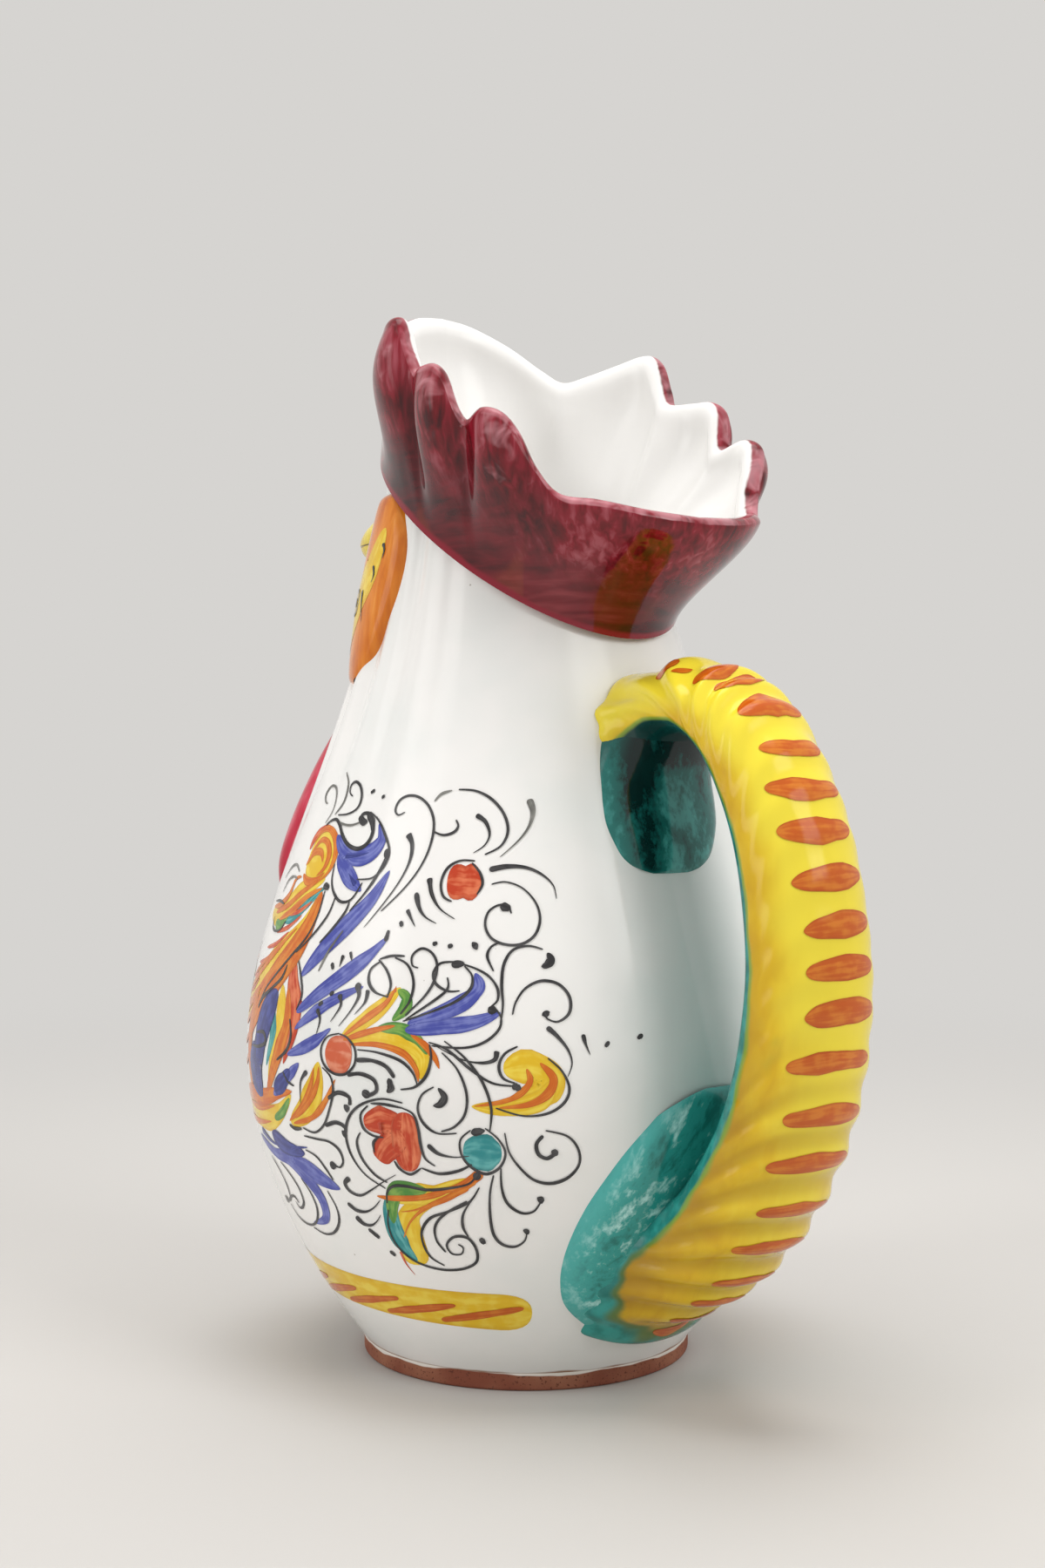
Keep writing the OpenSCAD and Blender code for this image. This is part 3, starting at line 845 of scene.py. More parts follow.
@dataclass
class CombCollar:
    """Lobed collar that makes the mouth: a front lobe, three lobes a side and a low rim over the tail."""

    form: BodyForm
    peak_z: float
    rear_z: float = 191.5
    front: float = 37.0
    rear: float = 62.0
    proud: float = 1.8
    swell: float = 3.6
    steps: int = 14
    outer_rows: int = 48
    inner_rows: int = 22
    notches: Knots = ((57.0, 9.0), (103.0, 5.0), (125.0, 4.4), (145.0, 5.0))
    groove: float = 0.8
    outer_roll: float = 0.4
    inner_roll: float = 0.85
    seam_share: float = 0.0005
    rim_shares: Knots = (
        (0, 0, 0, 0.75), (14, 0.02, 0.01, 0.75), (30, 0.1, -0.04, 0.5), (45, 0.21, -0.15, 0.15),
        (57, 0.275, -0.2, 0), (68, 0.25, -0.12, 0.3), (80, 0.205, 0.02, 0.8), (90, 0.175, 0.12, 1),
        (96, 0.2, 0.15, 0.9), (100, 0.31, 0.16, 0.5), (104, 0.4, 0.17, 0.05), (110, 0.405, 0.35, 0.7),
        (116, 0.41, 0.46, 1), (120, 0.46, 0.5, 0.8), (123, 0.58, 0.48, 0.3), (126, 0.63, 0.5, 0),
        (131, 0.6, 0.68, 0.7), (136, 0.625, 0.76, 1), (140, 0.7, 0.77, 0.8), (144, 0.83, 0.74, 0.4),
        (149, 0.925, 0.78, 0.1), (157, 0.95, 0.9, 0), (168, 0.985, 0.98, 0), (180, 1, 1, 0),
    )

    def rim(self) -> Array:
        """Rows of angle, fall share, spread share and swell share, all the way round."""
        half = along(self.rim_shares, np.linspace(0, 1, (len(self.rim_shares) - 1) * self.steps + 1))
        back = half[-2:0:-1] * np.array([-1, 1, 1, 1])
        return np.concatenate([half, back])

    def face(self, rim: Array, share: Array, inset: float) -> Array:
        """Points of the outer face, or of the inner face when inset is the wall.

        Args:
            rim: Rows from rim().
            share: Places from the lower edge up to the rim, as a column.
            inset: Distance in from the outer face.

        Returns:
            Points as rows by columns.
        """
        form = self.form
        angle = rim[:, 0]
        lift = -inset if inset else self.proud
        edge = form.edge_z(angle, lift)
        low = form.polar(angle, form.radius(edge) + lift, edge)
        low_r = np.hypot(low[:, 0], low[:, 1])
        crown_r = mix(self.front, self.rear, rim[:, 2]) - inset
        drop = self.inner_roll if inset else self.outer_roll
        z = mix(low[:, 2], mix(self.peak_z, self.rear_z, rim[:, 1]) - drop * form.wall, share)
        r = mix(low_r, crown_r, mix(share, ease(share), 0.6))
        lobes = self.swell * rim[:, 3] * np.sin(np.pi * share**2)
        grooves = self.groove * self.hollow(angle) * ease((share - 0.2) / 0.5)
        grooves = grooves * (1 - ease((share - 0.8) / 0.2))
        r = r + (0.4 if inset else 1.0) * (lobes - grooves)
        way = mix((low[:, :2] / low_r[:, None])[None], self.bearing(angle)[None], ease(share)[..., None])
        way = way / np.linalg.norm(way, axis=-1, keepdims=True)
        return np.concatenate([r[..., None] * way, z[..., None]], -1)

    def hollow(self, angle: Array) -> Array:
        """How near a groove between two lobes lies, from 0 to 1."""
        turn = np.abs((angle + 180) % 360 - 180)
        return sum(np.exp(-(((turn - at) / width) ** 2)) for at, width in self.notches)

    @staticmethod
    def bearing(angle: Array) -> Array:
        """Level direction at an angle from the beak."""
        return np.stack([np.sin(np.radians(angle)), -np.cos(np.radians(angle))], -1)

    def build(self, finish: Material) -> None:
        """Makes the comb: outer face, rounded rim, inner face and the flat ring that sits on the neck.

        Args:
            finish: Its material, which reads the four values that each point carries.
        """
        rim, wall = self.rim(), self.form.wall
        up = np.linspace(0, 1, self.outer_rows)[:, None]
        down = np.insert(np.linspace(1, 0, self.inner_rows), -1, self.seam_share)[:, None]
        outside, inside = self.face(rim, up, 0.0), self.face(rim, down, wall)
        arc = np.linspace(0, np.pi, 16)[1:-1, None]
        roll = np.where(arc < np.pi / 2, self.outer_roll, self.inner_roll) * wall
        r = mix(self.front, self.rear, rim[:, 2]) - wall / 2 + wall / 2 * np.cos(arc)
        z = mix(self.peak_z, self.rear_z, rim[:, 1]) - roll * (1 - np.sin(arc))
        crown = np.concatenate([r[..., None] * self.bearing(rim[:, 0]), z[..., None]], -1)
        grid = np.concatenate([outside, crown, inside, outside[:1]])
        inner = np.concatenate([0 * up, arc / np.pi, 0 * down + 1, [[0.0]]])
        lobes = 0.5 * rim[:, 3] * ease((up - 0.3) / 0.6)
        # This value marks the lobes' tops and the rim, where the finish paints pink: partly glaze worn thin,
        # partly painted highlight.
        wear_and_highlight = np.concatenate([lobes, 0.62 + 0 * rim[:, 3] * arc, 0 * lobes[: len(down)], lobes[:1]])
        # This value marks the grooves between the lobes, where the finish darkens the colour: partly pooled
        # colour, partly painted shade.
        sunk = self.hollow(rim[:, 0]) * ease((up - 0.2) / 0.4) * (1 - 0.6 * ease((up - 0.7) / 0.3)) + 0 * up
        dark = np.concatenate([sunk, 0 * wear_and_highlight[: len(arc)], 0 * lobes[: len(down)], sunk[:1]])
        height = np.concatenate([up, 0 * arc + 1, 0 * down + 1, [[0.0]]])
        values = {"inside": inner, "wear_and_highlight": wear_and_highlight, "hollow": dark, "up": height}
        piece = sheets("comb_collar", [grid], True, [values])
        hand_in(piece, finish, "maroon_glaze", "comb")


# Pieces luted on

EVEN_CROWN = (0.1, 0.75, 0.95, 1, 1, 0.95, 0.75, 0.3)


@dataclass(frozen=True)
class LutedPad:
    """A leaf of clay luted to the skin, thin at its edges."""

    form: BodyForm
    low: Place
    high: Place
    half_w: float
    relief: float
    outline: Shares
    crown: Shares
    roundness: float = 0.6
    sunk: float = 1.0

    def shares(self, angle: Array, z: Array) -> tuple[Array, Array]:
        """Share of the way up the pad, and share of the way across it from its middle line.

        Args:
            angle: Degrees from the beak.
            z: Heights.

        Returns:
            Both shares.
        """
        up = np.clip((z - self.low[1]) / (self.high[1] - self.low[1]), 0, 1)
        middle = mix(self.low[0], self.high[0], up)
        outline = along(self.outline, up.ravel()).reshape(up.shape)
        half = np.degrees(outline * self.half_w / self.form.radius(z))
        return up, np.clip((angle - middle) / half, -1, 1)

    def place(self, angle: Array, z: Array, lift: Array | float = 0.0) -> Array:
        """Points on the pad's face, or lifted off it.

        Args:
            angle: Degrees from the beak.
            z: Heights.
            lift: Distance off the pad.

        Returns:
            The points.
        """
        up, across = self.shares(angle, z)
        crown = along(self.crown, up.ravel()).reshape(up.shape)
        rise = self.relief * crown * (1 - across**2) ** self.roundness
        rise = rise - self.sunk * np.maximum(across**8, (2 * up - 1) ** 30)
        return self.form.polar(angle, self.form.radius(z) + rise + lift, z)

    def scale(self, angle: Array, z: Array) -> tuple[Array, Array]:
        """Millimetres on the pad to a degree round the body and to a millimetre of height."""
        return self.form.scale(angle, z)

    def build(self, name: str, finish: Material, slot: str, node: str) -> None:
        """Makes the pad.

        Args:
            name: Name of the piece.
            finish: Its material.
            slot: A material slot's name, passed on to hand_in().
            node: Solid that it replaces.
        """
        up = 0.5 - 0.496 * np.cos(np.linspace(0, np.pi, 80))[:, None]
        across = np.sin(np.linspace(-np.pi / 2, np.pi / 2, 41))[None, :]
        z = mix(self.low[1], self.high[1], up) + 0 * across
        outline = along(self.outline, up.ravel()) * np.sqrt(1 - (2 * up - 1) ** 12)
        half = np.degrees(outline * self.half_w / self.form.radius(z[:, :1]))
        angle = mix(self.low[0], self.high[0], up) + half * across
        edge = np.maximum(np.abs(across) + 0 * z, np.abs(2 * up - 1) ** 4)
        hand_in(sheets(name, [self.place(angle, z)], False, [{"edge": edge}]), finish, slot, node)


@dataclass
class Face:
    """Beak, cheeks and wattles."""

    form: BodyForm
    beak_reach: float
    beak_z: float = 194.0
    beak_w: float = 21.6
    beak_h: float = 18.6
    beak_tip_share: float = 0.82
    lower_beak_share: float = 0.94
    mouth_half: float = 0.15
    cheek_w: float = 29.0
    cheek_skirt: float = 2.5
    cheek_relief: float = 3.5
    cheek_low: Place = (58.0, 156.5)
    cheek_top_deg: float = 70.0
    wattle_w: float = 31.0
    wattle_relief: float = 5.2
    wattle_low: Place = (43.0, 106.5)
    wattle_top: Place = (14.0, 168.0)
    edge_round: float = 0.5
    edge_sunk: float = 2.2
    eye_at: Place = (62.0, 176.0)
    eye_reach: Place = (4.6, 3.0)
    eye_step: float = 0.9
    cheek_shares: Shares = (0.5, 0.76, 0.87, 0.95, 1, 1, 0.97, 0.9, 0.77, 0.58, 0.36)
    cheek_crown: Shares = (0.1, 0.5, 0.8, 1, 1, 0.95, 0.8, 0.6)
    wattle_shares: Shares = (0.34, 0.68, 0.86, 0.98, 1, 0.94, 0.8, 0.62, 0.46, 0.34, 0.26)

    def pad(self, side: int, low: Place, high: Place, *shape: Any) -> LutedPad:
        """A pad on one side of the face, side 1 on +X and -1 on -X."""
        ends = ((side * low[0], low[1]), (side * high[0], high[1]))
        return LutedPad(self.form, *ends, *shape, self.edge_round, self.edge_sunk)

    def cheek(self, side: int) -> LutedPad:
        """One cheek."""
        top = (self.cheek_top_deg, self.form.comb_z + self.cheek_w / 4)
        shape = (self.cheek_w / 2 + self.cheek_skirt, self.cheek_relief, self.cheek_shares, self.cheek_crown)
        return self.pad(side, self.cheek_low, top, *shape)

    def wattle(self, side: int) -> LutedPad:
        """One wattle."""
        shape = (self.wattle_w / 2, self.wattle_relief, self.wattle_shares, EVEN_CROWN)
        return self.pad(side, self.wattle_low, self.wattle_top, *shape)

    def eye(self, side: int) -> list[Stroke]:
        """Yellow leaf, round eye and short lashes painted on a cheek."""
        (a, z), (wide, tall) = self.eye_at, self.eye_reach
        ring = [(a + wide * math.cos(t), z + tall * math.sin(t)) for t in self.eye_step * np.arange(8)]
        work = [*strokes(EYE_LEAF), Stroke(Paint.LINE, Nib.LINE, 0.9, ring), *strokes(LASHES)]
        return [Stroke(s.paint, s.nib, s.width, [(side * a, z) for a, z in s.path]) for s in work]

    def beak(self, upper: bool) -> Array:
        """Points of one half of the beak, flat on the mouth line.

        Args:
            upper: True for the upper half.

        Returns:
            Points as rows toward the tip and columns round it.
        """
        level = np.array(self.beak_z)
        root = float(self.form.radius(level) - self.form.lean(level)) - 0.6 * self.form.wall
        share = np.linspace(0, 1, 40)[:, None]
        reach = mix(root, self.beak_reach, np.sin(np.pi / 2 * share))
        full = (reach - root) / (self.beak_reach - root)
        size = np.maximum(np.sqrt(np.clip(1 - full**2.8, 0, 1)), 0.01) * mix(1, self.beak_tip_share, full)
        rise = self.beak_h / 8 * np.cos(np.pi / 2 * full)
        turn = np.radians(np.linspace(0, 360, 64, endpoint=False))[None, :]
        narrow = 1.0 if upper else self.lower_beak_share
        x = narrow * self.beak_w / 2 * size * np.cos(turn)
        z = self.beak_z + rise + self.beak_h / 2 * size * np.sin(turn)
        lip = self.beak_z + self.mouth_half * (1 if upper else -1)
        z = np.maximum(z, lip) if upper else np.minimum(z, lip)
        return np.stack(np.broadcast_arrays(x, -reach, z), -1)

    def build(self, lemon: Material, orange: Material, red: Material) -> None:
        """Makes the beak, the cheeks and the wattles in their finishes.

        Args:
            lemon: Finish of the beak.
            orange: Finish of the cheeks.
            red: Finish of the wattles.
        """
        for name, upper, node in (("beak_top", True, "beak_upper"), ("beak_bottom", False, "beak_lower")):
            hand_in(sheets(name, [self.beak(upper)], True), lemon, "yellow_glaze", node)
        for word, side in (("left", -1), ("right", 1)):
            self.cheek(side).build(f"cheek_leaf_{word}", orange, "orange_glaze", f"cheek_{word}")
            self.wattle(side).build(f"wattle_drop_{word}", red, "red_glaze", f"wattle_{word}")


# The tail handle


@dataclass
class TailHandle:
    """Arched strap with feather ribs across its back, and the two fillets of clay at its roots."""

    form: BodyForm
    reach: float = 92.0
    top_z: float = 154.5
    low_z: float = 21.0
    width: float = 30.0
    thick: float = 21.0
    rib_h: float = 0.9
    rib_lag: float = 1.4
    rib_from: float = -0.5
    rib_full: float = 0.5
    back_share: float = 0.56
    flare: float = 0.22
    flare_reach: float = 4.0
    teal_reach: float = 8.0
    rings: int = 300
    sides: int = 72
    path_shares: Knots = (
        (0.36, 0.88), (0.54, 0.965), (0.68, 0.975), (0.8, 0.935), (0.89, 0.855), (0.96, 0.745), (1, 0.59),
        (0.99, 0.465), (0.95, 0.355), (0.875, 0.25), (0.757, 0.148), (0.61, 0.07), (0.4, 0),
    )
    strap_shares: Knots = (
        (0.7, 0.84), (0.8, 0.78), (0.88, 0.8), (0.9, 0.88), (0.94, 0.95), (1, 1), (1.04, 1.02),
        (1.12, 1.02), (1.17, 0.98), (1.2, 0.92),
    )
    rib_shares: Shares = (0.2, 1, 0.8, 0.3, 0.12, 0.2, 0.45, 0.75, 0.8, 0.5)
    crest_shares: Shares = (
        0.01, 0.07, 0.1355, 0.1985, 0.229, 0.268, 0.3245, 0.371, 0.4085, 0.4445, 0.4775, 0.509, 0.545, 0.5915,
        0.6455, 0.696, 0.749, 0.7955, 0.8465, 0.8885, 0.932, 0.97, 1.01,
    )
    low_ends: tuple[Place, Place] = ((180.0, 10.0), (180.0, 70.0))
    low_half: float = 31.0
    low_relief: float = 5.0
    high_ends: tuple[Place, Place] = ((175.0, 114.5), (184.5, 151.0))
    high_half: float = 17.5
    high_relief: float = 9.0
    low_shares: Shares = (0.26, 0.6, 0.85, 0.96, 1, 0.99, 0.94, 0.845, 0.72, 0.55, 0.38)
    high_shares: Shares = (0.49, 0.74, 0.87, 0.96, 0.99, 0.99, 0.98, 0.95, 0.89, 0.74, 0.46)
    high_crown: Shares = (0.05, 0.2, 0.26, 0.3, 0.4, 0.72, 1.0, 1.0)

    def middle(self, share: Array) -> Array:
        """Points of the strap's centre line in Y and Z."""
        path = along(self.path_shares, share)
        return np.stack([self.reach * path[:, 0], mix(self.low_z, self.top_z, path[:, 1])], -1)

    def rib(self, t: Array, share: Array) -> Array:
        """Height of the feather ribs from -1 to 1, at radians round the strap; they trail down its sides."""
        lag = self.rib_lag * (1 - np.sin(t)) ** 1.5
        count = np.interp(share, self.crest_shares, np.arange(len(self.crest_shares)))
        return np.cos(2 * np.pi * (count - lag))

    def place(self, turn: Array, share: Array, lift: Array | float = 0.0) -> Array:
        """Points of the strap, or lifted off it.

        Args:
            turn: Degrees round the strap: 90 is the middle of its back, 0 its +X side, -90 its inner face.
            share: Places along the handle, from the neck to the belly.
            lift: Height above the strap.

        Returns:
            Points, with the part that lies inside the body laid just under the skin.
        """
        turn, share, lift = np.broadcast_arrays(turn, share, lift)
        shape, t, s = turn.shape, np.radians(turn.ravel()), share.ravel()
        size, centre = along(self.strap_shares, s), self.middle(s)
        way = self.middle(s + 0.01) - self.middle(s - 0.01)
        out = np.stack([-way[:, 1], way[:, 0]], -1) / np.linalg.norm(way, axis=1)[:, None]
        back = np.maximum(np.sin(t), 0)
        reach = ease((np.sin(t) - self.rib_from) / (self.rib_full - self.rib_from))
        proud = self.rib_h * along(self.rib_shares, s)[:, 0] * reach * self.rib(t, s) + lift.ravel()
        inner = (self.back_share - 1) * np.maximum(-np.sin(t), 0) ** 0.8
        depth = self.thick * size[:, 1] * (self.back_share * back + inner) + proud * np.sin(t)
        side = (self.width / 2 * size[:, 0] + proud) * np.cos(t)
        flat = centre + out * depth[:, None]
        d = np.hypot(side, flat[:, 0] - self.form.lean(flat[:, 1])) - self.form.radius(flat[:, 1])
        grow = 1 + self.flare * np.exp(-((np.maximum(d, 0) / self.flare_reach) ** 2))
        side, depth = side * grow, depth * grow
        flat = centre + out * depth[:, None]
        z, middle_y = flat[:, 1], self.form.lean(flat[:, 1])
        r = np.hypot(side, flat[:, 0] - middle_y)
        keep = np.maximum(r, self.form.radius(z) - 1.0) / np.maximum(r, 1e-6)
        points = np.stack([side * keep, middle_y + (flat[:, 0] - middle_y) * keep, z], -1)
        return points.reshape(*shape, 3)

    def scale(self, turn: Array, share: Array) -> tuple[Array, Array]:
        """Millimetres to a degree round the strap and to the whole length along it."""
        round_it = self.place(turn + 4.0, share) - self.place(turn - 4.0, share)
        along_it = self.place(turn, share + 0.02) - self.place(turn, share - 0.02)
        return np.linalg.norm(round_it, axis=-1) / 8.0, np.linalg.norm(along_it, axis=-1) / 0.04

    def build(self, tail: Material, high: Material, low: Material) -> None:
        """Makes the strap and its two roots.

        Args:
            tail: Finish of the strap.
            high: Finish of the root on the neck.
            low: Finish of the root on the belly.
        """
        share = np.linspace(0.01, 0.99, self.rings)[:, None]
        turn = -np.linspace(0, 360, self.sides, endpoint=False)[None, :]
        points = self.place(turn, share)
        inner = np.maximum(-np.sin(np.radians(turn)), 0) + 0.07 + 0.24 * ease((share - 0.22) / 0.35)
        off_skin = np.hypot(points[..., 0], points[..., 1] - self.form.lean(points[..., 2]))
        off_skin = off_skin - self.form.radius(points[..., 2])
        root = ease((share - 0.78) / 0.08) * np.clip(1 - off_skin / self.teal_reach, 0, 1)
        # The last value marks the ribs' valleys on the lower strap, where the finish paints shade into them.
        values = {
            "teal": np.maximum(inner, root),
            "share": share,
            "back": np.sin(np.radians(turn)),
            "rib_valley_shade": (0.5 - 0.5 * self.rib(np.radians(turn), share)) * ease((share - 0.5) / 0.2),
        }
        hand_in(sheets("tail_strap", [points], True, [values]), tail, "yellow_glaze", "tail_handle")
        shape = (self.high_half, self.high_relief, self.high_shares, self.high_crown)
        upper = LutedPad(self.form, *self.high_ends, *shape)
        upper.build("root_patch_upper", high, "teal_glaze", "tail_root_upper")
        shape = (self.low_half, self.low_relief, self.low_shares, EVEN_CROWN)
        lower = LutedPad(self.form, *self.low_ends, *shape)
        lower.build("root_patch_lower", low, "teal_glaze", "tail_root_lower")


# Painting


class Nib(Enum):
    """How a stroke's width runs from its start to its end."""

    FLICK = "pressed at the start and lifted to a hair"
    LEAF = "pointed at both ends and full in the middle"
    BAND = "one width with rounded ends"
    LINE = "a line of nearly one width"
    DAB = "a round dab"
    DASH = "a short pull, a little fuller in the middle"

    def widths(self, share: Array, cap: float) -> Array:
        """Shares of the full width at shares of the stroke, rounded off over a cap at both ends.

        Args:
            share: Places along the stroke.
            cap: Share of the stroke that each rounded end takes.

        Returns:
            A share of the width for each place.
        """
        near = np.clip(np.minimum(share, 1 - share) / cap, 0, 1)
        ends = np.sqrt(1 - (1 - near) ** 2)
        if self is Nib.FLICK:
            return (0.14 + 0.86 * (1 - share) ** 1.7) * ends
        if self is Nib.LEAF:
            return np.sin(np.pi * share**0.85) ** 0.7
        if self is Nib.DASH:
            return (0.45 + 0.55 * np.sin(np.pi * share) ** 0.9) * ends
        if self is Nib.LINE:
            return (0.5 + 0.5 * np.sin(np.pi * share)) * ends
        if self is Nib.DAB:
            return np.sqrt(np.clip(1 - (2 * share - 1) ** 2, 0, 1))
        return ends


@dataclass(frozen=True)
class Stroke:
    """One brush stroke: its colour, nib and full width, and the places that it passes through."""

    paint: Paint
    nib: Nib
    width: float
    path: Knots

    def mirrored(self, hand: np.random.Generator, shake: float = 0.35) -> Stroke:
        """The same stroke painted again on the other side, with the hand's small differences."""
        path = [(-a + hand.normal(0, shake), z + hand.normal(0, shake)) for a, z in self.path]
        return Stroke(self.paint, self.nib, self.width, path)


@dataclass
class Brush:
    """Lays strokes on a surface as ribbons that follow it, one mesh for each colour.

    The surface is the body, a cheek or the tail: it has place() for its points and scale() for the
    millimetres to a unit of each of its two coordinates.
    """

    surface: Any
    seed: int = 7
    step_mm: float = 0.4
    lift: float = 0.04
    layer: float = 0.012
    palette: dict[Paint, Material] = field(default_factory=dict)

    def ribbon(self, stroke: Stroke, number: int, hand: np.random.Generator) -> tuple[Array, Values]:
        """Points and carried values of one stroke.

        Args:
            stroke: The stroke.
            number: Its turn in the painting, which lifts it over those before it.
            hand: Source of the hand's unevenness.

        Returns:
            Points as rows along the stroke and columns across it, and the values for its material.
        """
        knots = np.asarray(stroke.path, float)
        rough = along(knots, np.linspace(0, 1, 24))
        u_mm, v_mm = self.surface.scale(rough[:, 0], rough[:, 1])
        steps = np.hypot(np.diff(rough[:, 0]) * u_mm[1:], np.diff(rough[:, 1]) * v_mm[1:])
        length = float(steps.sum())
        cap = min(0.5, 0.8 * stroke.width / length)
        bend = cap * (1 - np.cos(np.linspace(0, np.pi / 2, 8)))
        straight = np.linspace(cap, 1 - cap, max(8, int(length / self.step_mm)))
        share = np.unique(np.round(np.concatenate([bend, straight, 1 - bend]), 6))
        path = along(knots, share)
        u_mm, v_mm = self.surface.scale(path[:, 0], path[:, 1])
        du, dv = np.gradient(path[:, 0]) * u_mm, np.gradient(path[:, 1]) * v_mm
        norm = np.maximum(np.hypot(du, dv), 1e-9)
        wobble = 1 + 0.1 * np.interp(share, np.linspace(0, 1, 7), hand.normal(0, 1, 7))
        half = np.maximum(stroke.nib.widths(share, cap) * wobble, 0.02) * stroke.width / 2
        columns = 3 if stroke.width < 1.0 else 5 if stroke.width < 2.5 else 11
        across = np.linspace(-1, 1, columns)[None, :]
        reach = half[:, None] * across
        u = path[:, :1] - (dv / norm / u_mm)[:, None] * reach
        v = path[:, 1:] + (du / norm / v_mm)[:, None] * reach
        lift = self.lift + self.layer * (stroke.paint.value.coat + number % 40 / 40)
        values = {
            "run_mm": (share * length)[:, None] + 0 * across,
            "across": across + 0 * half[:, None],
            "seed": np.full((share.size, columns), hand.uniform(0, 40)),
        }
        return self.surface.place(u, v, lift), values

    def paint(self, name: str, work: Sequence[Stroke], slot: str) -> None:
        """Paints the strokes.

        Args:
            name: First word of the pieces' names.
            work: The strokes, first to last.
            slot: A material slot's name, passed on to hand_in().
        """
        hand = np.random.default_rng(self.seed)
        heaps: dict[Paint, list[tuple[Array, Values]]] = {}
        for number, stroke in enumerate(work):
            heaps.setdefault(stroke.paint, []).append(self.ribbon(stroke, number, hand))
        for paint, ribbons in heaps.items():
            grids, values = zip(*ribbons)
            piece = sheets(f"{name}_{paint.name.lower()}", grids, False, values)
            if paint not in self.palette:
                self.palette[paint] = paint.value.build()
            hand_in(piece, self.palette[paint], slot)


def curl(angle: float, z: float, size: float, start: float, sweep: float) -> list[list[float]]:
    """Points of a scroll that winds in.

    Args:
        angle: Its middle, as an angle from the beak.
        z: Height of its middle.
        size: Reach of its first point in millimetres, of which a degree is about one.
        start: Degrees at which it starts, from level.
        sweep: Degrees it turns through.

    Returns:
        Places on the belly.
    """
    share = np.linspace(0, 1, 14)
    turn, reach = np.radians(start + sweep * share), size * (1 - 0.85 * share**0.8)
    return np.stack([angle + reach * np.cos(turn), z + reach * np.sin(turn)], -1).tolist()


def strokes(table: str) -> list[Stroke]:
    """Reads strokes from their table.

    Args:
        table: For each group of strokes, closed by a semicolon, its paint, nib and width and then its paths,
            parted by slashes. A place is an angle and a height, and five numbers are those of curl().

    Returns:
        The strokes, first to last.
    """
    work = []
    for group in table.split(";"):
        paint, nib, width, paths = group.split(maxsplit=3)
        for path in paths.split("/"):
            places = [[float(number) for number in place.split(",")] for place in path.split()]
            knots = [knot for place in places for knot in ([place] if len(place) == 2 else curl(*place))]
            work.append(Stroke(Paint[paint], Nib[nib], float(width), knots))
    return work


def bottom_band() -> list[Stroke]:
    """Yellow band round the front of the belly with slanting orange strokes."""
    low_z, high_z, pull, slant = 19.6, 22.0, 11, 2.1
    path = [(angle, mix(low_z, high_z, math.cos(math.radians(angle / 2)))) for angle in range(-143, 144, 13)]
    band = [Stroke(Paint.YELLOW, Nib.BAND, 9.4, path)]
    for start in (-141, -123, -106, -89, -73, -57, -41, -25, -8, 8, 24, 40, 56, 71, 86, 102, 119):
        middle = low_z if abs(start + pull) > 60 else mix(low_z, high_z, 2 / 3)
        dash = [(start + pull * step, middle + slant * (step - 1)) for step in range(3)]
        band.append(Stroke(Paint.STRIPE, Nib.DASH, 1.9, dash))
    return band


def tail_stripes() -> list[Stroke]:
    """Orange stripes across the tail's back, as degrees round the strap and shares along it."""
    work = []
    for start, end, first, middle, last, width in STRIPES:
        path = [(start, first), ((start + end) / 2, middle), (end, last)]
        work.append(Stroke(Paint.STRIPE, Nib.DASH, 1.12 * width, path))
    return work


# Tables of the painting: angles from the beak in degrees, heights and widths in millimetres

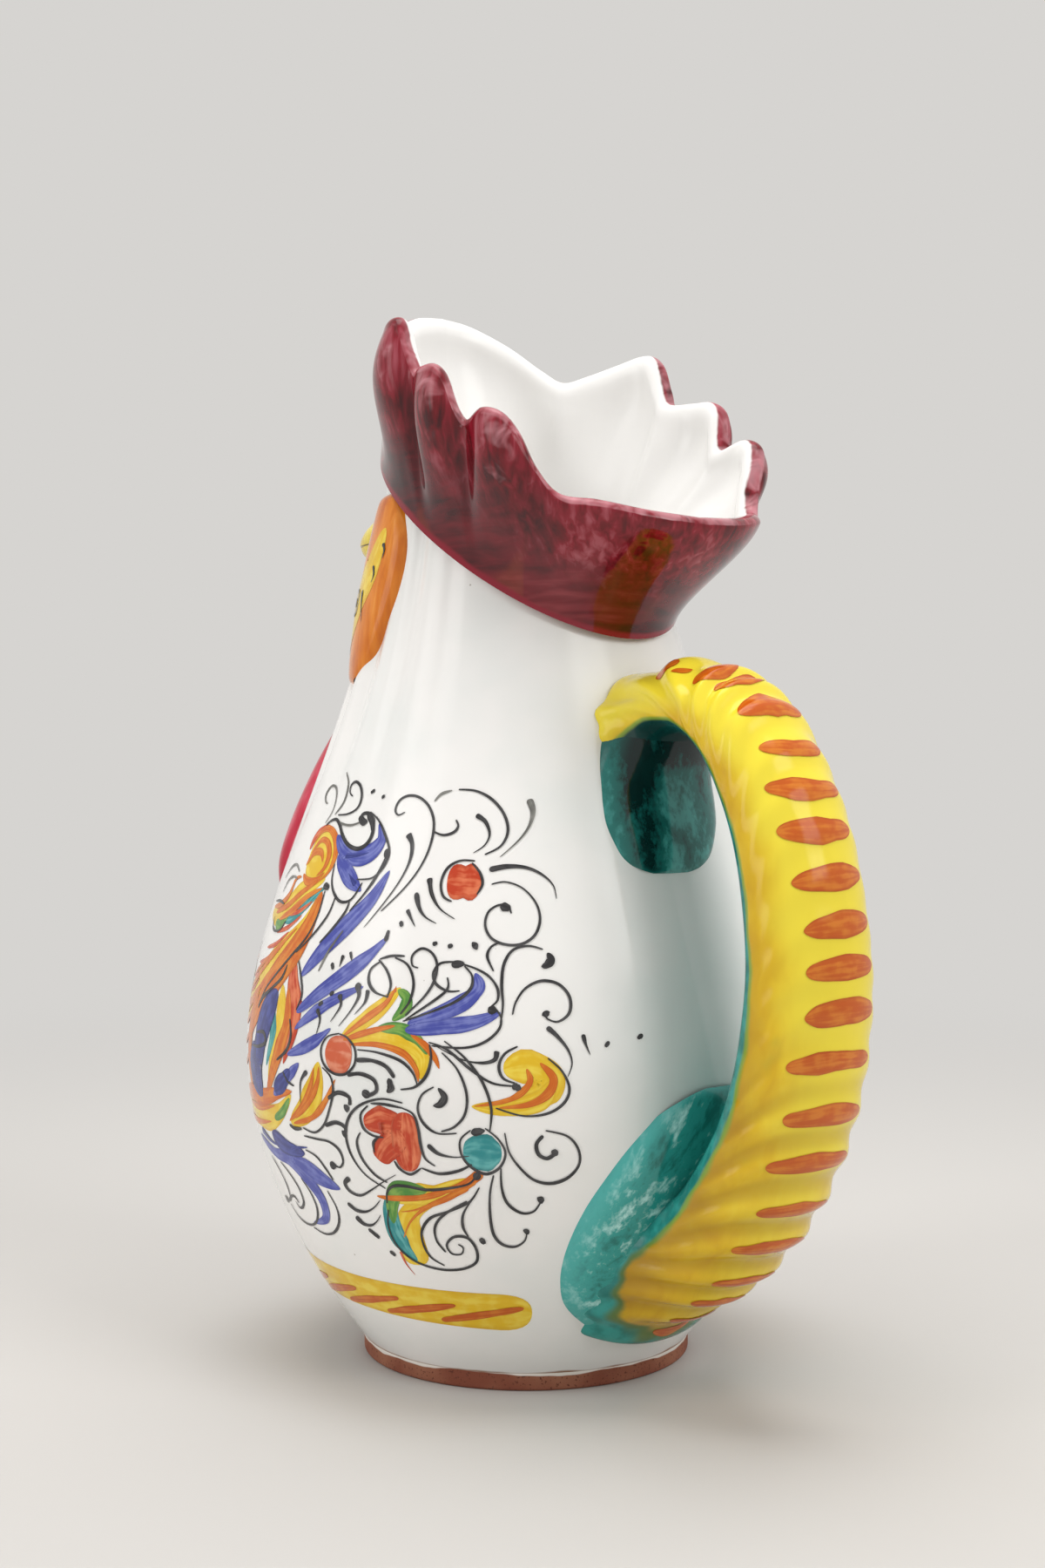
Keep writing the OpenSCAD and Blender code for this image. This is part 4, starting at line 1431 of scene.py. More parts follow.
SCROLLS = """YELLOW FLICK 13 58,80 67,86 75,92.5 82,98.5 88,104 91,110.5;
YELLOW LEAF 7 48,55 60,58.5 70,59.3 78,59 85,61.5 90,66;
YELLOW DAB 12.5 80.3,117.6 92.2,117.6;
YELLOW LEAF 6.5 66,104.5 74,104 79,107 84,110.5 91,113;
YELLOW LEAF 4.6 84.2,89.5 85,84 85,79 83,73 80.5,66;
YELLOW LEAF 6 89,59.6 94.6,63.5 97.8,69 98.8,74.4;
YELLOW LEAF 3.6 104.5,80 109.5,84 113.5,87.5 117,91.5;
YELLOW LEAF 4.6 106,79.8 112,81 118,80.5 122,77.6 122,72.8;
YELLOW BAND 7.4 137.4,75.4 142,76 145.2,73.6 144,70.8 139.6,69.2;
YELLOW LEAF 4.6 146.4,73 144,69 138,67.4 131.6,67.6;
YELLOW FLICK 9.6 117,31 116.4,37 117.6,43 123,47 129,50 133.4,53.4;
YELLOW LEAF 4.4 113.4,46.4 118,47.4 124,48.6 131,52;
ORANGE LEAF 7.6 66,74 74,84.5 80.4,91 86,97 89.4,103 91.2,110.3;
ORANGE LEAF 1.5 62,89 70,92.8 78,97 85,102 / 58,84.5 66,88.6 74,93.6 81,98.4 / 60,80 68,84.8 75,90.3 82,95.8
/ 57,83 64,83.5 70,87.5 / 57,77.8 63,79 69,83 / 56,73.2 62,74 67,77 / 56,68.6 62,69 67,72;
ORANGE LEAF 4.6 71,88 68.2,80 67.8,70 70,62;
ORANGE LEAF 4.2 55,61 66,63 76,63.3 84,65.3 90.4,66.8;
ORANGE LEAF 1.3 58,57 70,56.8 80,58.4 / 64,60.5 74,60.5 83,62.5;
ORANGE LEAF 1.7 80.5,120.5 83,123.3 87,123.8 90.6,121.8 92.3,118.3 91.6,114.8 88.5,112.2 / 81,118.3 84,121.2
87.6,120.9 89.8,118.4 89.4,115.4 87,113.5 / 80.3,115.5 82.6,118.4 86.2,118.6 88,116.6 / 80.5,113.6
83.4,112.2 87,112.5 90,114.4 / 66,105.4 71.6,106.2 75.8,108.6 77.2,112.2 80,113 / 70,104.3 77,106.4 83,109.8
90,113.2 / 74,103 80,105.3 86,109 91,111;
ORANGE LEAF 4.2 86.8,89 88,82 86,76 83,70 79.5,64;
ORANGE LEAF 1.5 88.5,60 93.5,64 96.6,69 97.6,73 / 90,59.7 96.5,62 100.5,66 103.4,71.2 / 91,61 96,65.5
98.6,70 99,73.5 / 105,80.6 110,84.6 114,88 116,91.5 / 105,79.7 111,82 116.5,83.6 / 106.5,78.9 113,79.4
118.4,78 121,75 121.6,72.2 / 119.8,82 122.6,80 124.6,77.6 125.6,75.2 / 141.6,75.6 142.2,73 140.4,70.4
137.4,68.8 132,67.6 / 126,48.6 120,47 113.5,46.3 110.5,46.4;
ORANGE LEAF 2 144,76.8 146.4,73.6 145.4,70.4 142,68.2 136.5,67.4;
ORANGE FLICK 2.6 133.2,53.5 129.5,50.6 124.5,48.6 119,47 115.5,46.6;
ORANGE FLICK 2.2 132,52 127,48 121.5,45 117.5,41.5 115,37.4;
ORANGE FLICK 1.6 130.5,50 124,46.4 119,44.2 115.6,43.4;
RED LEAF 1.2 59,85.6 65,86.6 69.6,89.4 / 62.4,89 68.4,90.3 73.4,93.4 / 66.2,92.6 72.4,94 77.6,97.2 /
70.4,96.4 76.4,97.8 81.6,100.9 / 74.6,100.2 80.6,101.8 85.6,104.8 / 79,104.4 84,105.6 88.4,108;
RED LEAF 2 79.3,119 80.2,121.8 82.8,123.7 86.5,124.5;
RED LEAF 5.2 87.2,95 88,90.5 90,85.5 90,79.5 87.5,72.5;
RED DAB 7.8 124.5,113.6 132.2,113.6;
RED BAND 5.8 109.8,62.4 113.6,63.4 118,63;
RED BAND 6.2 112.4,54.6 114.4,57.4 118.4,61 / 118.6,65.6 118.6,60 118.8,52.8;
RED FLICK 1 113.2,33.8 113.8,31 115.4,28.4 / 115.9,90.4 116,91.8;
PINK DAB 7.4 100.6,76.6 107.3,76.6;
RED FLICK 2 102,73.5 105,73 107,75.4;
GREEN LEAF 2.6 72,102.4 75.5,101.9 79,104.2;
GREEN LEAF 3 115.8,84.6 118.2,87.2 118.3,89.6 116.4,91;
GREEN LEAF 2.8 112.6,82.8 117.5,83 121.2,81 123.2,78;
GREEN LEAF 2.2 82,59.4 86,61.5 89.4,65.2;
GREEN LEAF 3.6 122,48.8 115.8,48.4 113.8,45 113.2,40.4;
TEAL LEAF 3.2 76.5,103.2 81,104 85.5,106.8 88.5,109.2 91.8,111.2 / 80.2,84.5 82.3,81 82.2,77 80,71;
TEAL DAB 8 129.8,57.8 137,57.8;
TEAL LEAF 4.2 113.8,47 113,43 113.2,38.4 114.6,35 117,32;
BLUE LEAF 3.8 91,122.6 94.5,119.8 99,118.2 103.8,119.2 106.2,122.2 104.5,125.6 / 93.5,118.4 97,115.4
100.5,112.8 103.6,111 / 119,84.2 125,86.4 130,89.2 132.6,92 131.8,95 / 118.6,82.8 126,83.8 132,85 136.8,87 /
69,53.5 78,51 85,50.8 90.5,47.5 94,43 93,38.4 87,36.3 / 85,51.4 91,50 96.5,48 101,46.6;
BLUE LEAF 4.4 90.6,92 96,98 102,104 107,109.5 110.3,115.6;
BLUE LEAF 3.6 91,84.2 97,88.7 104,93.7 109,97.8 112.8,101.8;
BLUE LEAF 2.6 91,80.6 97,85 103,88.6 108.6,91.2;
BLUE LEAF 2.8 89,74.8 94,76.8 98,79 101.6,81.8;
BLUE LEAF 3 83,65 87,67.8 91,71.4 93,73.4;
NAVY LEAF 9 82.4,88 78.4,82 76,76 75,70 77,63.6;
NAVY LEAF 5.4 72,75.4 71,71 72.4,66.6 76.5,63.6;
NAVY LEAF 4.2 83.5,66 87,68.4 90,71.6;
NAVY LEAF 4.4 79,55.6 85,53.6 92,53.2;
NAVY FLICK 2 87,53 90,54.2 93.4,54.8 / 72,55.2 78,53.4 84,53.2;
NAVY FLICK 1.8 96,118.2 100.4,118.6 103.4,119.2 / 101.6,112.2 98.6,114.6;
GREY LINE 0.6 80,129.3 78.4,130 77.6,131.6 79,133.3 82,132.8 84.6,130.6 85,127.8 83,125 / 119,130.4
120.6,132 123.4,132.8 / 68,112 71,114.6 74.5,115.4 77.8,114 / 70.5,109 72,111.6 75,112.8 78,112.4 / 87,127
89.5,130 89,134 86,136.5 / 88,126 91,125.2 95,124.9 99,126 / 101,102.5 98,98 96,93.5;
GREY FLICK 1.6 142.5,131 143.3,128.4 142.4,125.4 140,122.4 135.8,118.8;
LINE LINE 0.62 92.6,131.2 91,132 90.6,133.6 92.2,134.4 94.4,133.4 95.8,131 95.4,128.6 92.6,127.3 88.6,127 /
100.4,127.9 104,126.2 107,123.2 109.2,119.6 108.5,116.4 106,113.9 101.6,113.4 / 93,116.5 93.6,113 95.4,110.3
98.4,108.5 101.4,109.2 103.5,112.8 / 96.3,109.4 95.5,106 93.4,102.8 90.4,99.6 87,96.8 / 101,108.6
100.4,106.4 98,103 94.6,99.4 / 109,119.8 107.4,115 104.8,110.6 101.6,106.6 / 92.2,110.6 91.8,105 89.6,100.2
85,95.6 80,91.2 75.8,87.6 72.6,83.4 / 111.4,128 109.6,127.4 108.5,128.6 109.3,130.6 111.8,131.6 115,131.1
118,129 119.7,125.6 119.5,121 117.8,116.4 114.6,111.8 110,107 / 125,133 129.4,132.7 133.4,131 136.4,128
137.5,124.4 136,121.2 132.4,119.3 / 119.9,124 122.4,123.3 124.8,123.9 125.8,125.2 125.1,126.6 / 130.4,118
127,118 124.3,116.4 123.2,113.4 124,110.6 126,109.5 / 129.7,117.6 131.6,115.6 132.3,113.2 131.2,111 /
134.2,113.2 137.2,113.7 140.8,112.4 143.5,109.4 144.3,106 143.2,102.8 140.6,101 137.4,100.9 134.6,102.2
133.3,104.8 133.9,107.6 136.2,109 138,108.4 138.5,107.2 / 136.4,101.3 134.7,100.4 134,98.4 135.3,95.4 /
144.8,99.9 142,100.6 139,99.8 137.3,97 136.9,93 137.2,88.6 136.8,84.6 / 139,86.6 139.6,89.2 141.4,92
144.4,93.5 147.6,92.8 149.6,90.2 149.5,87 147.4,85.2 145.4,85.8 145,87 / 120.3,95.7 119,96.2 118.8,98.2
120.6,99.7 122.8,98.9 124.1,96.6 123.8,93.2 122,89.8 118.4,85.8 / 129,91.3 126.6,91.2 124.2,92.6 123.5,94.8
124.8,96.8 127.6,97.2 / 128,97.1 131.6,96 134.4,94.4 136.1,92 136.2,89.6 135,88.2 / 129.6,96.4 131.2,94.4
131,91.8 128.4,89.2 124,87 118,84.6 / 135.4,88.4 136.9,86 136.4,83.4 133.8,80.9 130,79.7 124,79.9 / 126.4,94
126.6,91.8 124.6,89.6 118.6,85 / 111.8,96.6 109.8,94.8 109.8,92.2 111.6,90.2 114.6,89.4 / 111.4,97
113.6,94.8 114.8,92 114.2,89.2 / 111.6,97.1 114.2,97.9 117.2,98 / 115,97.6 118,96.2 119.6,92.8 119.2,89
117.4,86 / 104,81 101,80 99.5,77.4 100.2,74.4 102.8,72.5 105.9,72.6 108,74.8 108,78 106,80.3 103.6,81 /
108.5,78 113,77.8 117.8,76.5 120.4,74.2 121.4,71.6 / 123.6,80.2 124,77.4 123.2,73.8 121,71.2 118,70.4 /
126,78.6 129,75.2 130.7,70.4 130.4,66 128.4,63.2 125.8,62 / 126.4,81 130.4,77.6 133.6,72.8 135.2,67.4
134.9,62.4 / 123.4,80.6 127,79.2 131.6,75.2 135.4,72.6 139.6,72 / 124.6,71.4 122.3,69.6 121.4,66.6
122.4,63.6 125,61.6 128.8,61.8 / 145.4,77.8 148,75 149.3,71.4 148.3,68.4 145.4,66.3 141,65.8 136,67.4 /
139.6,72.6 137.4,73.6 136.6,76 137.6,78.6 140,80.2 / 111,66.4 109.2,64.2 109.6,61.4 111.6,60 114,59.8 /
118,66.6 120.4,65.4 121.3,62.4 121.6,59 122.3,56 124.2,54.4 / 113,59.9 111.6,58.4 111.6,56.2 / 121.4,53.8
119,52.2 116.8,53.2 115.8,54.9 / 121.4,53.8 124.8,52.8 128.6,53.6 131.4,55.2 / 111.6,66.9 114.6,67
118.4,66.5 / 118.4,67.6 114,68.1 109.4,66.4 106.4,63.4 105.2,59.4 105.9,55 108.6,51 113,48.4 / 108.8,60.4
107.7,58 108.4,54.6 110.8,51.4 113.6,49.8 / 131.4,62.6 129.4,60.4 129.5,57.2 131.2,54.6 134,53.2 136.6,54.7
137.7,57.8 136.4,60.8 134,63.1 / 137.6,62.2 138.4,58 140.4,54.6 143,52 146.2,51.2 149.4,52.4 151.4,55.2
151.1,58.6 149,61.4 145,62.7 / 136.8,54.6 136.9,50 138,46.6 140.6,44.6 143,45 144.4,47.2 / 135.4,53 134.6,49
134.4,44 134.9,39.6 136.6,37.3 139.2,36.8 141.2,38.2 141.7,40.4 / 132.2,53 130.6,50.9 126.6,49.7 122,49
118,49.4 115,49.2 113.2,47.6 112.7,45 / 112.7,43.6 111.8,40 112.2,36.4 113.8,33.8 116.4,31.9 120,30.8
124,30.5 128,31.2 130.8,33 131,36 129.4,38.5 126.6,38.6 124.7,36.6 125.5,34.6 127.6,34.6 128.2,36.1
127.2,36.9 / 132.6,50.2 130.4,46.8 126,44.4 122,42.6 119.6,39.4 119.4,36 120.6,33.2 123.4,31.5 / 131,47.4
129,44 128.7,41 129.6,38.8 / 130,47 125,43.6 122.7,40.6 122.6,37.4 124.2,34.8 / 93,57.4 97,57.3 100.4,57.2
102.8,55.8 103.5,53.4 102.4,51.8 100.8,52 / 93,59.2 96.6,58.7 99.6,60.8 101.6,64.6 102.8,68.6 102.2,71.6
100,73.4 / 92.6,54.2 95.8,53.2 98,50.8 99.6,48.4 / 80,49.2 83.4,47 85.7,44.2 85.9,41.2 84.2,39.4 82.4,39
81.4,40.2 / 77,38.8 79,36.4 82.2,35.3 86,35.6 89.2,37.4 91,40.6 90.4,44 88.2,47 / 86,35 90.4,34.3 94.6,35.5
97.6,38.4 98.3,41.8 96.8,45.6 / 74.6,39.5 77,39.5 79.4,40.9 81.6,41.4 83.2,40.2 / 74.8,49.6 77.8,46.8
79.4,43.4 78.6,40 / 88.7,95.2 90.8,91.6 92,88 90.8,84.6 / 66,106.6 70,107 74.4,106.6 / 69.6,103.4 70.8,101.2
73.4,100.4 76.6,101 78.4,103 / 91.4,68.2 89.2,68.9 87.5,70.8;
LINE LINE 0.95 84,124.6 86,125.6 88.4,126 90.6,124.9 93,122.6 96,120.6 99.4,119.9 102,121 103,123.2
102.4,125.6 100.4,127.4 98,127.4 97.6,126 99,125.1 100.2,125.9 / 89,82.6 89.9,79 88.6,75.6 85,73 / 71,74.4
75,74.6 79.2,76 78,78.2 73.6,77.6 / 84.6,93.9 83.2,90.8 79,88 75,85.6 72.8,83 / 88.3,59.2 90,58.6 92.6,58.9;
LINE FLICK 1.35 113.4,123.4 114.9,121.2 115,117.8 113.4,113.6 110.4,108.8 106.4,103.4 / 129.9,127.6
132.2,126.2 133.3,123.6 132.3,121.3 129.8,119.6 / 133.6,116.2 137.4,116.9 141.4,116.7 144.8,115.3 147.2,113
147.8,110.2 / 145.3,84.1 147.2,82.2 149.1,79.4 149.8,76.6 149,73.8 / 117.8,111.2 118.9,108.2 120.6,106.2
123.2,104.9 / 120.4,114.3 121.4,111 123.6,108 127,105.9 / 116.3,107.6 118.6,104.1 / 107.2,91.2 107.8,89.2
106.4,86.2 103.6,82.4 / 103,89.2 103.6,86.8 101.4,83.2 / 97.4,85.6 98.5,83.4 97.8,80 / 109.8,90.6 109.4,88
107.2,85.2 / 104.1,98.2 104.9,96.2 / 102.4,97.4 101.8,94.8 / 104.3,49.6 102.8,48.2 103.8,46.5 106.4,46
109.4,47.6 112.6,49.8 115.8,51.8 / 102.2,43.6 104.2,42.3 106.8,42.3 109.2,43.6 111.2,45.6 / 103.6,40.7
105.2,39.3 107.2,39.2 109,40.3 110.5,42.1 / 123,59 125,57.2 128,56.6 131,57 / 95.6,72 93.6,69.4 93.2,64.6 /
136.2,79.2 135.8,77.4 133.4,76.7 129.6,77.4 124.6,80 / 151.9,82.5 152.4,80.4 153.2,78.2;
LINE LEAF 1.7 97,126.9 98.6,125.8 100.2,125.8 / 99.6,127.4 102,125.8 102.8,123.6 / 106.8,91.6 108,90.6 /
91.2,111.7 93.4,111.2 / 108.7,120.2 108.7,118 / 127,96.6 129.6,96.9 / 134.4,87.6 136.2,87.4 / 139,72.2
140.6,71.4 / 125.4,71.2 126.6,69.4 125.8,67.8 124.4,67.4 / 115.6,72.6 116,70.6 115.2,69.6 / 109.8,69.2
111.6,68.4 / 144.9,87.4 145.4,86.2 / 131.4,62 134,62.6 / 132.6,53.4 131.8,51.8 / 132,37.6 133,38.3 /
99.6,51.8 101.4,52 / 104.4,59.2 105.4,59.8 / 105.4,65 106.6,65.6 / 74.4,39.6 76.4,39.4 / 143.8,47.2 144.9,48
/ 141.2,40 142,40.8 / 146.2,57.6 147.4,58.2 / 145.6,99.2 146.3,97.8 145.4,96.7 144.4,96.4 / 136.2,108.8
138.4,108.2 / 131,100.2 132,101;
LINE BAND 0.9 98.5,132 99.8,132.7 / 103.2,131 104.2,131.5 / 122.8,100.6 123.8,101 / 126,100.2 127,100.6 /
115.2,105.2 115.6,104 / 112.7,103.2 112.3,100.8 / 99.6,95.6 100.2,94.2 / 101.4,89.6 100.4,88.8 / 98.8,87.2
97.6,86.4 / 156,79.8 156.8,80.9 / 162.3,81.2 163.4,82 / 106.2,38.2 108.6,36.4 / 110.4,33.6 111.6,32.6 /
106.4,72.4 109.4,73 112.4,72 113,69.8 111.4,68.6 / 108.4,75.8 112,76 115,75 116.8,72.8 / 100,60.7 103,61.8
105.2,61 105,59.6 / 101.4,66.8 104,68.4 106.6,67.8 106.8,66 / 144.6,61.6 143.4,59.8 143.8,57.6 145.4,56.7
147,57.8"""

# One side of the palmette that closes the pattern under the wattles, where the photograph can't see
PALMETTE = """YELLOW LEAF 5.4 0,50 0,66 0,86;
YELLOW LEAF 6.2 2,51 9,58 14,68 15.5,79 11.5,87;
YELLOW LEAF 6.6 4,48.5 16,48.8 28,53 36.5,61 38,70 33.5,75;
YELLOW LEAF 9.6 60,91 51.5,84.5 47,74 49.5,63 60,56.5;
ORANGE LEAF 1.8 3.4,51 10.4,58.6 15.6,68.4 17,79 / 4,55 9,62.5 12.2,71 13,80 / 5,47 17,46.6 29.5,51 38.6,60
40.2,69.6 / 8,49.6 18,50.4 28,55 34.8,62.6 35.6,69.6 / 61,94 50,88 43.6,75 46,61 58,53.6 / 58,90 51,84
47,74.5 49.4,64 57,57.6 / 60,87 53.5,81.5 50.4,73.5 53,65 60.5,60;
RED LEAF 1.4 60,95.6 48.6,89.6 41.4,75 44.2,59.6 57,51.6 / 0,54 0,68 0,82;
RED DAB 7 22.4,95.4 29.4,95.4;
BLUE LEAF 4.2 2.5,53 5.4,63 6.4,73 3.4,84;
BLUE LEAF 5.4 5,50.4 15,55 23.4,62.6 27.4,72 25.4,80.6;
BLUE LEAF 4.6 43.6,84 37,86.4 33.4,92.4 36.4,99.4;
BLUE LEAF 3.6 42.6,80 35.6,80.6 30.2,85 28.4,90;
NAVY FLICK 1.6 6.5,50.4 16,54.4 24.6,61.4 29,70 / 44,85.4 39,87.6 36,92.6;
TEAL LEAF 3.6 9,46 21,44.6 32.6,47.4 41.4,53.6;
GREEN LEAF 3.2 0.5,49.6 6,45 12,43.2 18,42.4 / 41,72 37,76 31,77;
LINE LINE 0.62 0.6,48 3.6,56 4.2,68 0.4,88 / 3,50 11,57 17.6,67.6 18.6,80 11.4,89.4 / 6,49.4 16.4,53.4
25.8,61.4 30.4,72 25.4,83.4 / 6,46 18,45.4 31,49.6 40.8,59.6 42,70.4 35.4,77 / 62,97 47.4,91 39.4,75
42.6,58.4 56,49.6 / 44.6,86.4 36.6,84.6 31,92 36,101.4 38.6,96 / 25.9,95.4,4.8,20,350 / 1.5,89 3,94 7,98.6
10.8,97.4,3.6,150,-400 / 14.6,90.6 18,88 20.6,86,3.2,130,-380 / 31,103 36,107 42,107.6 44,102.4,4.6,95,-420
/ 50,96 54,101 56.4,105,4,240,-400 / 20,41 27,37.4 36,38.6 39.6,43.4,4.4,-80,420 / 1,41 6,36.6 13,35
16.6,38.2,3.2,-90,400 / 44,53 49,46.4 54.6,46,4,190,400 / 33,82 34.6,79 39.6,77.6;
LINE FLICK 1.35 31.6,99 34,103 33.4,106 / 20,98.6 16.4,101.4 15,105.4 / 24,101.6 22.6,105.4 24,109 /
18.4,93.4 15.4,94.6 12.8,93.4 / 6,103 8.4,107 12.6,109 / 43,92 46.4,96 46.8,99 / 24,34.4 28.6,32.4 34,33 /
44.6,40 48.6,38 53,38.4;
LINE LEAF 1.5 10,96.6 11.8,97.6 / 43,101.6 45,102.8 / 38.6,42.8 40.6,43.8 / 54,45.2 55.8,46.4 / 2.8,101
3.6,102.6 / 5,92 6.4,93.2 / 28.6,112 29.2,114 / 0,106 0,108"""

EYE_LEAF = "YELLOW LEAF 11.5 49,163 56,170 65,177 74,184 80,192.6"
LASHES = """LINE DAB 2.6 60,176 64,176;
LINE FLICK 1.3 80.6,189 82,187.4 81.6,185.4 / 76,184 77.4,182 76.4,180 / 69.6,178.6 71,175 72.6,171"""

# Start, end, shares along the strap at start, middle and end, width
STRIPES = (
    (40, 66, 0.122, 0.1355, 0.1415, 5.2), (42, 62, 0.156, 0.163, 0.166, 1.8),
    (39, 98, 0.1925, 0.1985, 0.188, 5.4), (47, 114, 0.2225, 0.224, 0.212, 4.6),
    (48, 122, 0.27, 0.265, 0.274, 6.4), (49, 120, 0.3155, 0.3245, 0.3215, 3.8),
    (39, 122, 0.3605, 0.371, 0.369, 4.2), (38, 119, 0.404, 0.4085, 0.407, 4.7),
    (43, 122, 0.446, 0.4445, 0.4425, 4.7), (49, 124, 0.4805, 0.4775, 0.4755, 4.6),
    (49, 124, 0.512, 0.509, 0.509, 4.6), (49, 125, 0.551, 0.545, 0.5465, 4.8),
    (38, 122, 0.6005, 0.5915, 0.5945, 4.4), (44, 123, 0.6545, 0.6455, 0.651, 4.4),
    (43, 123, 0.707, 0.696, 0.701, 4.2), (52, 122, 0.7565, 0.749, 0.756, 3.6),
    (51, 120, 0.803, 0.7955, 0.802, 3.8), (58, 118, 0.851, 0.8465, 0.852, 3.8),
    (60, 112, 0.8885, 0.8885, 0.892, 3.4), (68, 108, 0.929, 0.932, 0.926, 3.0),
    (76, 108, 0.958, 0.961, 0.955, 2.4),
)


# Studio


@dataclass
class Studio:
    """Plain pale floor, soft lamps, glowing cards for the glaze to mirror, and the photograph's camera."""

    azimuth: float = 141.5
    distance: float = 0.497
    eye_z: float = 0.142
    aim_z: float = 0.13
    pitch: float = 1.0
    yaw: float = 0.1
    lens: float = 48.0
    sensor: float = 36.0
    paper: str = "#D6D4D1"
    floor_paper: str = "#C4C1BD"
    walls: str = "#F6F5F3"
    room_light: float = 0.44
    fade_from: float = 0.14
    fade_to: float = 0.75
    floor_half: float = 12.0

    def put(self, name: str, data: bpy.types.ID, place: Vector, turn: Shares = ()) -> bpy.types.Object:
        """Links a new object, turned as given or else to face the pitcher.

        Args:
            name: Its name.
            data: Mesh, lamp or camera that it shows.
            place: Where it stands, in metres.
            turn: Its rotation in radians, if it doesn't face the pitcher.

        Returns:
            The object.
        """
        thing = bpy.data.objects.new(name, data)
        aim = (place - Vector((0, 0, self.aim_z))).to_track_quat("Z", "Y").to_euler()
        thing.location, thing.rotation_euler = place, turn or aim
        bpy.context.scene.collection.objects.link(thing)
        return thing

    def camera(self, place: Vector) -> None:
        """Makes the camera."""
        data = bpy.data.cameras.new("photo_camera")
        data.lens, data.sensor_fit = self.lens, "VERTICAL"
        data.sensor_height = data.sensor_width = self.sensor
        turn = (math.radians(90 - self.pitch), 0.0, math.radians(self.azimuth + self.yaw))
        bpy.context.scene.camera = self.put("photo_camera", data, place, turn)

    def plane(
        self, name: str, material: Material, size: tuple[float, float], place: Vector, turn: Shares = ()
    ) -> bpy.types.Object:
        """Makes a flat rectangle of the stage.

        Args:
            name: Its name.
            material: Its material.
            size: Its sides in metres.
            place: Its middle.
            turn: Its rotation, if it doesn't face the pitcher.

        Returns:
            The object.
        """
        mesh = bpy.data.meshes.new(name)
        mesh.from_pydata([(-1, -1, 0), (1, -1, 0), (1, 1, 0), (-1, 1, 0)], [], [(0, 1, 2, 3)])
        mesh.materials.append(material)
        plane = self.put(name, mesh, place, turn)
        plane.scale = (size[0] / 2, size[1] / 2, 1.0)
        return plane

    @staticmethod
    def looked_at(m: Recipe) -> Socket:
        """1 for the rays that show the background: the camera's, and those mirrored or let through.

        Args:
            m: Nodes of the material or world.

        Returns:
            The socket with that number.
        """
        seen = m.add("LightPath", output="Is Camera Ray")
        for kind in ("Is Glossy Ray", "Is Transmission Ray"):
            seen = m.add("Math", [seen, m.add("LightPath", output=kind)], operation="MAXIMUM")
        return seen

    def floor(self) -> None:
        """Makes the pale floor, which fades into the background's colour where the camera sees it far off."""
        m = Recipe("pale matt paper, rolled out")
        skin = m.add("BsdfPrincipled", {"Base Color": self.floor_paper, "Roughness": 0.75})
        off = m.add("VectorMath", [m.place], "Value", operation="LENGTH")
        far = [off, self.fade_from / self.floor_half, self.fade_to / self.floor_half]
        away = m.add("MapRange", far, interpolation_type="SMOOTHSTEP")
        share = m.add("Math", [away, self.looked_at(m)], operation="MULTIPLY")
        m.add("OutputMaterial", [m.add("MixShader", [share, skin, m.add("Emission", [self.paper])])])
        self.plane("pale_floor", m.owner, (2 * self.floor_half, 2 * self.floor_half), Vector(), (0, 0, 0))

    def room(self) -> None:
        """Makes the pale room, an even light from all sides, in the floor's own colour to the camera."""
        m = Recipe("pale room", "worlds")
        light = m.add("Background", [self.walls, self.room_light])
        seen = m.add("Background", [self.paper])
        m.add("OutputWorld", [m.add("MixShader", [self.looked_at(m), light, seen])])
        bpy.context.scene.world = m.owner

    def card(self, name: str, place: Vector, size: tuple[float, float], strength: float) -> None:
        """Makes a glowing card with soft edges that only the glaze mirrors.

        Args:
            name: Its name.
            place: Its middle, in metres.
            size: Its sides.
            strength: Its glow.
        """
        m = Recipe(f"glow of {name}")
        soft = []
        for axis in "XY":
            off = m.add("Math", [m.add("SeparateXYZ", [m.place], axis)], operation="ABSOLUTE")
            soft.append(m.add("MapRange", [off, 1.0, 0.45], interpolation_type="SMOOTHSTEP"))
        share = m.add("Math", soft, operation="MULTIPLY")
        glow = m.add("Emission", [self.walls, strength])
        m.add("OutputMaterial", [m.add("MixShader", [share, m.add("BsdfTransparent"), glow])])
        card = self.plane(name, m.owner, size, place)
        card.visible_camera = card.visible_diffuse = card.visible_shadow = card.visible_transmission = False

    def lamp(self, name: str, place: Vector, size: tuple[float, float], power: float) -> None:
        """Makes a soft rectangular lamp that faces the pitcher.

        Args:
            name: Its name.
            place: Where it stands, in metres.
            size: Its sides.
            power: Its watts.
        """
        data = bpy.data.lights.new(name, "AREA")
        data.shape, data.energy = "RECTANGLE", power
        data.size, data.size_y = size
        self.put(name, data, place).visible_glossy = False

    def build(self) -> None:
        """Makes the whole studio."""
        turn = math.radians(self.azimuth)
        toward, up = Vector((math.sin(turn), -math.cos(turn), 0)), Vector((0, 0, 1))
        right = Vector((math.cos(turn), math.sin(turn), 0))
        self.camera(toward * self.distance + up * self.eye_z)
        self.floor()
        self.room()
        lights = (
            ("key", toward * 0.75 + right * 0.95 + up * 0.85, (0.7, 0.9), 8.6, (0.8, 0.9), 2.7),
            ("left", toward * 0.45 - right * 1.05 + up * 0.5, (0.4, 1.0), 5.6, (0.7, 1.1), 2.0),
            ("top", toward * -0.1 + up * 1.25, (0.9, 0.9), 13.0, (0.9, 0.9), 2.5),
        )
        for name, place, size, power, mirrored, glow in lights:
            self.lamp(f"{name}_softbox", place, size, power)
            self.card(f"{name}_card", place, mirrored, glow)
        bpy.context.scene.view_settings.view_transform = "Standard"


# The whole


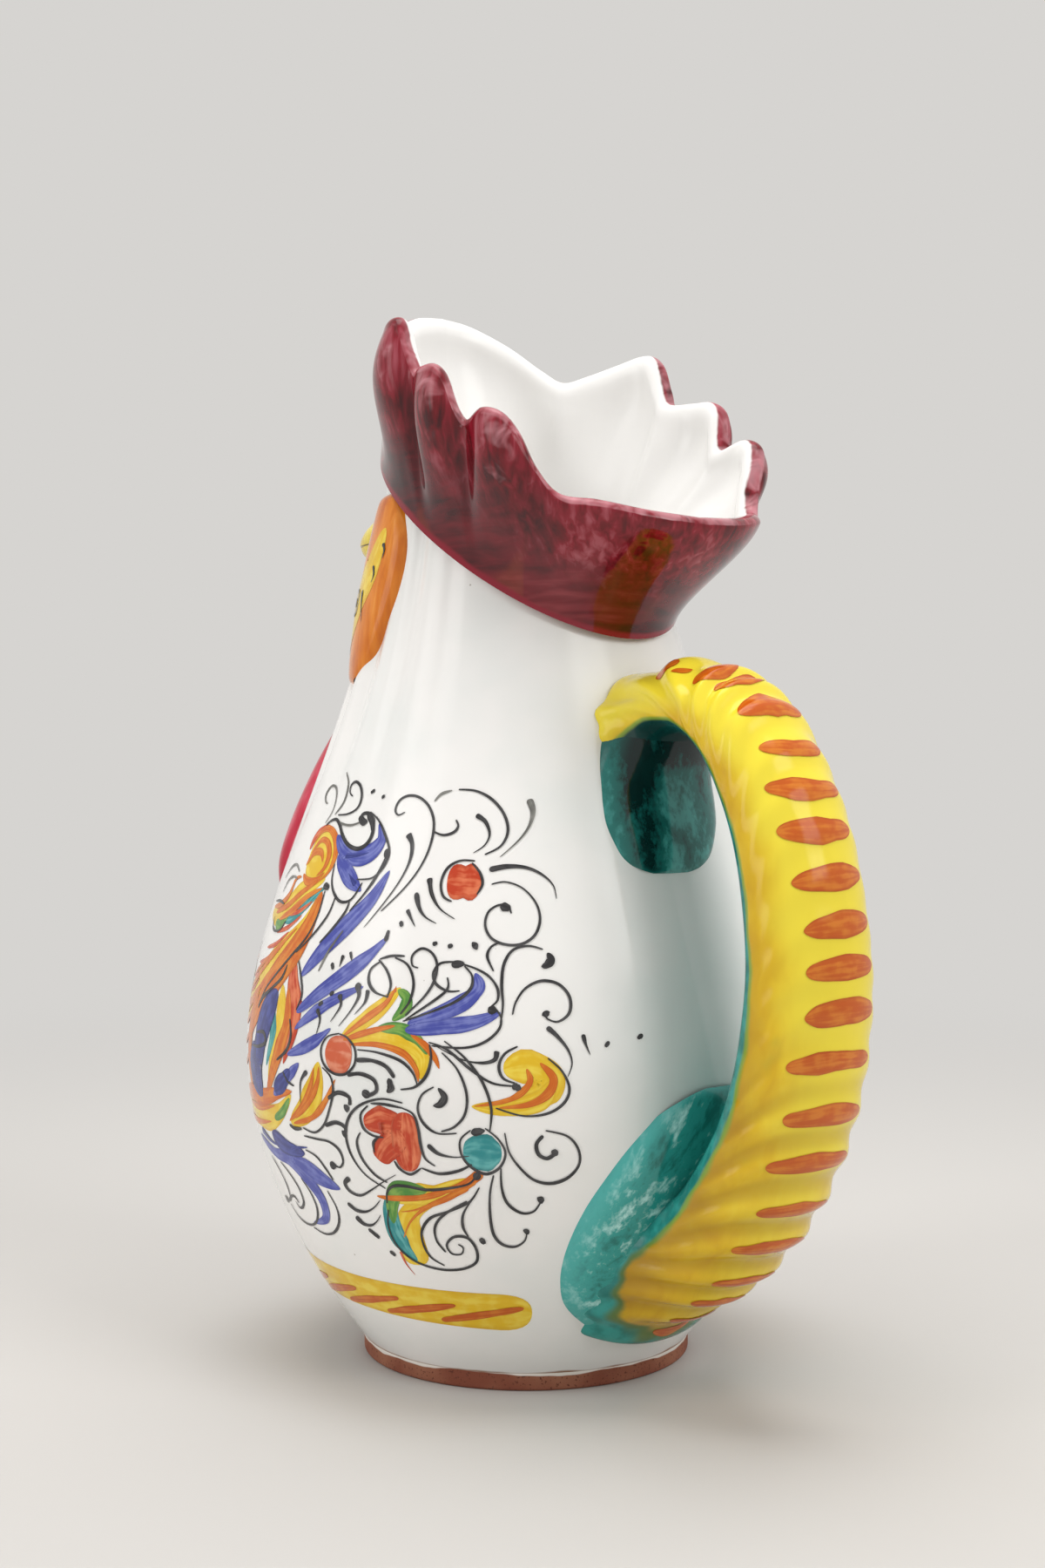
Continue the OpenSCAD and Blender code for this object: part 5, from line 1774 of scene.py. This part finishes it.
def main() -> None:
    logging.basicConfig(level=logging.INFO, format="%(name)s: %(message)s")
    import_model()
    Studio().build()
    form = BodyForm.from_frame()
    GlazedBody(form).build(TinGlaze().build(), FiredClay().build())
    CombCollar(form, peak_z=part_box("comb")[1].z / MM).build(CombGlaze().build())
    face = Face(form, beak_reach=-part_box("beak_upper")[0].y / MM)
    soft = BrushMarks(3.0, (1.0, 1.0, 0.25), 16.0, 0.4, 0.28)
    leaf = BrushMarks(2.2, (1.0, 1.0, 0.12), 14.0, 0.4, 0.26)
    lemon = ("antimony yellow brushed on the beak", "#C49E18", "#DEBF22", "#E8D23A", "#F0E270", soft)
    orange = ("iron orange brushed on the cheeks", "#BC5A0C", "#D67616", "#E68C2E", "#F2B060", leaf)
    red = ("red glaze brushed on the wattles", "#860A1E", "#B01430", "#BE2440", "#D25A6C", soft)
    face.build(*(BrushedGlaze(*glaze).build() for glaze in (lemon, orange, red)))
    deep = PooledGlaze(
        "copper teal pooled on the neck", "#062523", "#1A6862", "#4FA7A0", "#1E756E",
        # The last three sizes on this line paint an upright band of dark reflection.
        middle=0.56, rim_cover=0.6, drawn_out=1.7, reflection_band_x_mm=9.5, reflection_band_half_mm=7.5, reflection_band_depth=0.13,
        # These darken the patch toward its top as painted shade under the strap.
        top_shade_z_mm=(123.0, 143.0), top_shade_depth=0.14,
    )
    pale = PooledGlaze(
        "copper teal dabbed on the belly", "#167069", "#2F9890", "#B4E2DC", "#52B2AC",
        middle=0.51, rim_cover=0.75, drawn_out=3.2, slant_deg=-37.0, fleck_mm=1.1, pool_mm=5.0,
    )
    tail = TailHandle(form)
    tail.build(TailGlaze().build(), deep.build(), pale.build())
    brush = Brush(form)
    side = strokes(SCROLLS) + strokes(PALMETTE)
    hand = np.random.default_rng(MIRROR_SEED)
    brush.paint("scroll", bottom_band() + side + [stroke.mirrored(hand) for stroke in side], "white_glaze")
    for word, sign in (("left", -1), ("right", 1)):
        Brush(face.cheek(sign), palette=brush.palette).paint(f"eye_{word}", face.eye(sign), "orange_glaze")
    Brush(tail, palette=brush.palette).paint("tail", tail_stripes(), "yellow_glaze")


if __name__ == "__main__":
    main()
